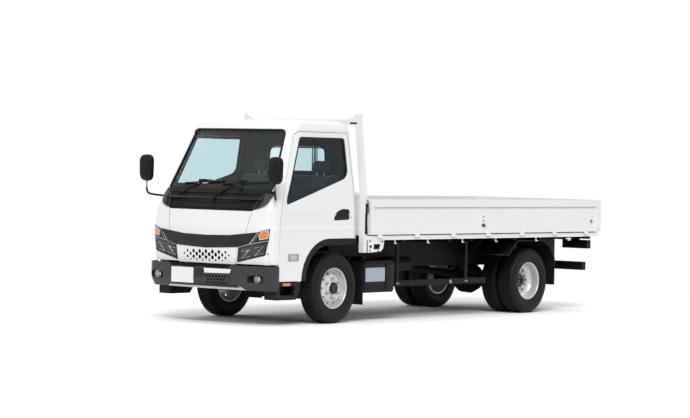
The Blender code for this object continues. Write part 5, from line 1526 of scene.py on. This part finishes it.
def seats():
    """Two cushions, two backs and two head rests in place of the plain bench."""
    for name, low_x, high_x in (("driver", -0.645, -0.135), ("bench", -0.075, 0.645)):
        middle_x = (low_x + high_x) / 2
        quarter = (high_x - low_x) / 4
        sewn = [(0, middle_x - quarter, 0.018, 0.016), (0, middle_x + quarter, 0.018, 0.016)]
        base = cushion(f"{name}_cushion", spot(low_x + 0.012, -0.315, 0.915),
                       spot(high_x - 0.012, 0.060, 1.045), 0.0, 0.012, 0.014, sewn)
        if name == "driver":
            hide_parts("seats")
        cushion(f"{name}_back", spot(low_x + 0.015, 0.040, 1.060),
                spot(high_x - 0.015, 0.125, 1.485), 0.120, 0.012, 0.014, sewn)
        frame_box = soft_box(spot(low_x + 0.03, -0.300, 0.8768), spot(high_x - 0.03, 0.220, 0.925),
                             0.008)
        piece(f"{name}_seat_frame", frame_box, TRIM_GREY, "cab")
        for shift, letter in ((-0.045, "a"), (0.045, "b")):
            x = dict(HEAD_RESTS)[name] + shift
            rod = bent_rod([spot(x, 0.200, 1.440), spot(x, 0.226, 1.540)], 0.006)
            piece(f"{name}_head_rest_rod_{letter}", rod, ZINC, "cab")
    for name, x in HEAD_RESTS:
        cushion(f"{name}_head_rest", spot(x - 0.110, 0.185, 1.500), spot(x + 0.110, 0.245, 1.620),
                0.015, 0.010, 0.008)


windshield_trim()
headlamps()
cowl()
wipers()
honeycomb_fascia()
nose()
bumper_parts()
doors()
side_marks()
mirrors()
tyre("front_tyre", FRONT_TRACK, 0.0, "front_wheel_left")
tyre("rear_outer_tyre", OUTER_TRACK, REAR_AXLE, "rear_wheels_left")
tyre("rear_inner_tyre", INNER_TRACK, REAR_AXLE, "rear_wheels_left")
front_wheel()
rear_wheels()
deck()
headboard_details()
gates()
corner_plates()
under_deck()
rear_lamps()
steering_wheel()
cab_lining()
seats()


# Floor, light and camera

FLOOR_COLOUR = (0.86, 0.86, 0.86, 1.0)
PLAIN_WHITE = (1.0, 1.0, 1.0, 1.0)
FLOOR_FADE = (4.5, 7.0)    # from the truck's middle, where the floor thins out to nothing


def seen_directly(tree):
    """1 for a ray that the camera, a reflection or a clear pane sees by."""
    path = tree.nodes.new("ShaderNodeLightPath")
    return maths(tree, "MAXIMUM", path.outputs["Is Camera Ray"],
                 maths(tree, "MAXIMUM", path.outputs["Is Glossy Ray"],
                       path.outputs["Is Transmission Ray"]))


def plain_floor():
    """A pale floor that looks plain white to the camera except where the truck shades it."""
    material, tree, shader = new_material("pale_floor")
    shader.inputs["Base Color"].default_value = FLOOR_COLOUR
    shader.inputs["Roughness"].default_value = 0.9
    shader.inputs["Specular IOR Level"].default_value = 0.0
    tree.links.new(mixed_colour(tree, seen_directly(tree), FLOOR_COLOUR, PLAIN_WHITE),
                   shader.inputs["Base Color"])
    distance = tree.nodes.new("ShaderNodeVectorMath")
    distance.operation = "LENGTH"
    tree.links.new(object_coordinates(tree), distance.inputs[0])
    fade = mapped(tree, distance.outputs["Value"], *FLOOR_FADE, 1.0, 0.0)
    tree.links.new(fade, shader.inputs["Alpha"])
    bm = bmesh.new()
    bmesh.ops.create_grid(bm, x_segments=1, y_segments=1, size=60.0)
    mesh = bpy.data.meshes.new("floor")
    bm.to_mesh(mesh)
    floor = link("floor", mesh)
    mesh.materials.append(material)


HORIZON_LIGHT = (0.24, 0.26, 0.30, 1.0)


def sky():
    """Even pale light; white where the camera or a clear surface sees past the floor."""
    world = bpy.data.worlds.new("sky")
    world.use_nodes = True
    bpy.context.scene.world = world
    tree = world.node_tree
    background = tree.nodes["Background"]
    split = tree.nodes.new("ShaderNodeSeparateXYZ")
    tree.links.new(tree.nodes.new("ShaderNodeTexCoord").outputs["Generated"], split.inputs[0])
    height = mapped(tree, split.outputs["Z"], -0.05, 0.70)
    light = mixed_colour(tree, height, HORIZON_LIGHT, PLAIN_WHITE)
    tree.links.new(mixed_colour(tree, seen_directly(tree), light, PLAIN_WHITE),
                   background.inputs["Color"])
    background.inputs["Strength"].default_value = 1.0


def sun(name, towards, energy, spread, colour):
    lamp = bpy.data.lights.new(name, "SUN")
    lamp.energy, lamp.angle, lamp.color = energy, math.radians(spread), colour
    obj = bpy.data.objects.new(name, lamp)
    obj.rotation_euler = Vector(towards).to_track_quat("Z", "Y").to_euler()
    bpy.context.scene.collection.objects.link(obj)


CAMERA_TURN = (39.375, 1.037, 1.198)             # yaw, pitch down and roll in degrees
CAMERA_SPOT = (16.7907, -19.4353, 1.6229)
FOCAL_LENGTH, SENSOR_WIDTH = 131.96, 36.0        # millimetres
LENS_SHIFT = (0.0059, -0.0034)


def camera():
    """The photograph's own view: a long lens, low in front of the left corner."""
    yaw, pitch, roll = (math.radians(a) for a in CAMERA_TURN)
    right = Vector((math.cos(yaw), math.sin(yaw), 0))
    ahead = Vector((-math.sin(yaw) * math.cos(pitch), math.cos(yaw) * math.cos(pitch),
                    -math.sin(pitch)))
    above = right.cross(ahead)
    x_axis = right * math.cos(roll) + above * math.sin(roll)
    y_axis = above * math.cos(roll) - right * math.sin(roll)
    place = Matrix((x_axis, y_axis, -ahead)).transposed().to_4x4()
    place.translation = spot(*CAMERA_SPOT)
    lens = bpy.data.cameras.new("camera")
    lens.sensor_width, lens.lens = SENSOR_WIDTH, FOCAL_LENGTH
    lens.shift_x, lens.shift_y = LENS_SHIFT
    lens.clip_end = 200.0
    obj = bpy.data.objects.new("camera", lens)
    obj.matrix_world = place
    bpy.context.scene.collection.objects.link(obj)
    bpy.context.scene.camera = obj


plain_floor()
sky()
sun("key_light", (0.75, -0.95, 1.05), 1.75, 22.0, (1.0, 0.99, 0.97))
camera()
bpy.context.scene.view_settings.view_transform = "Standard"
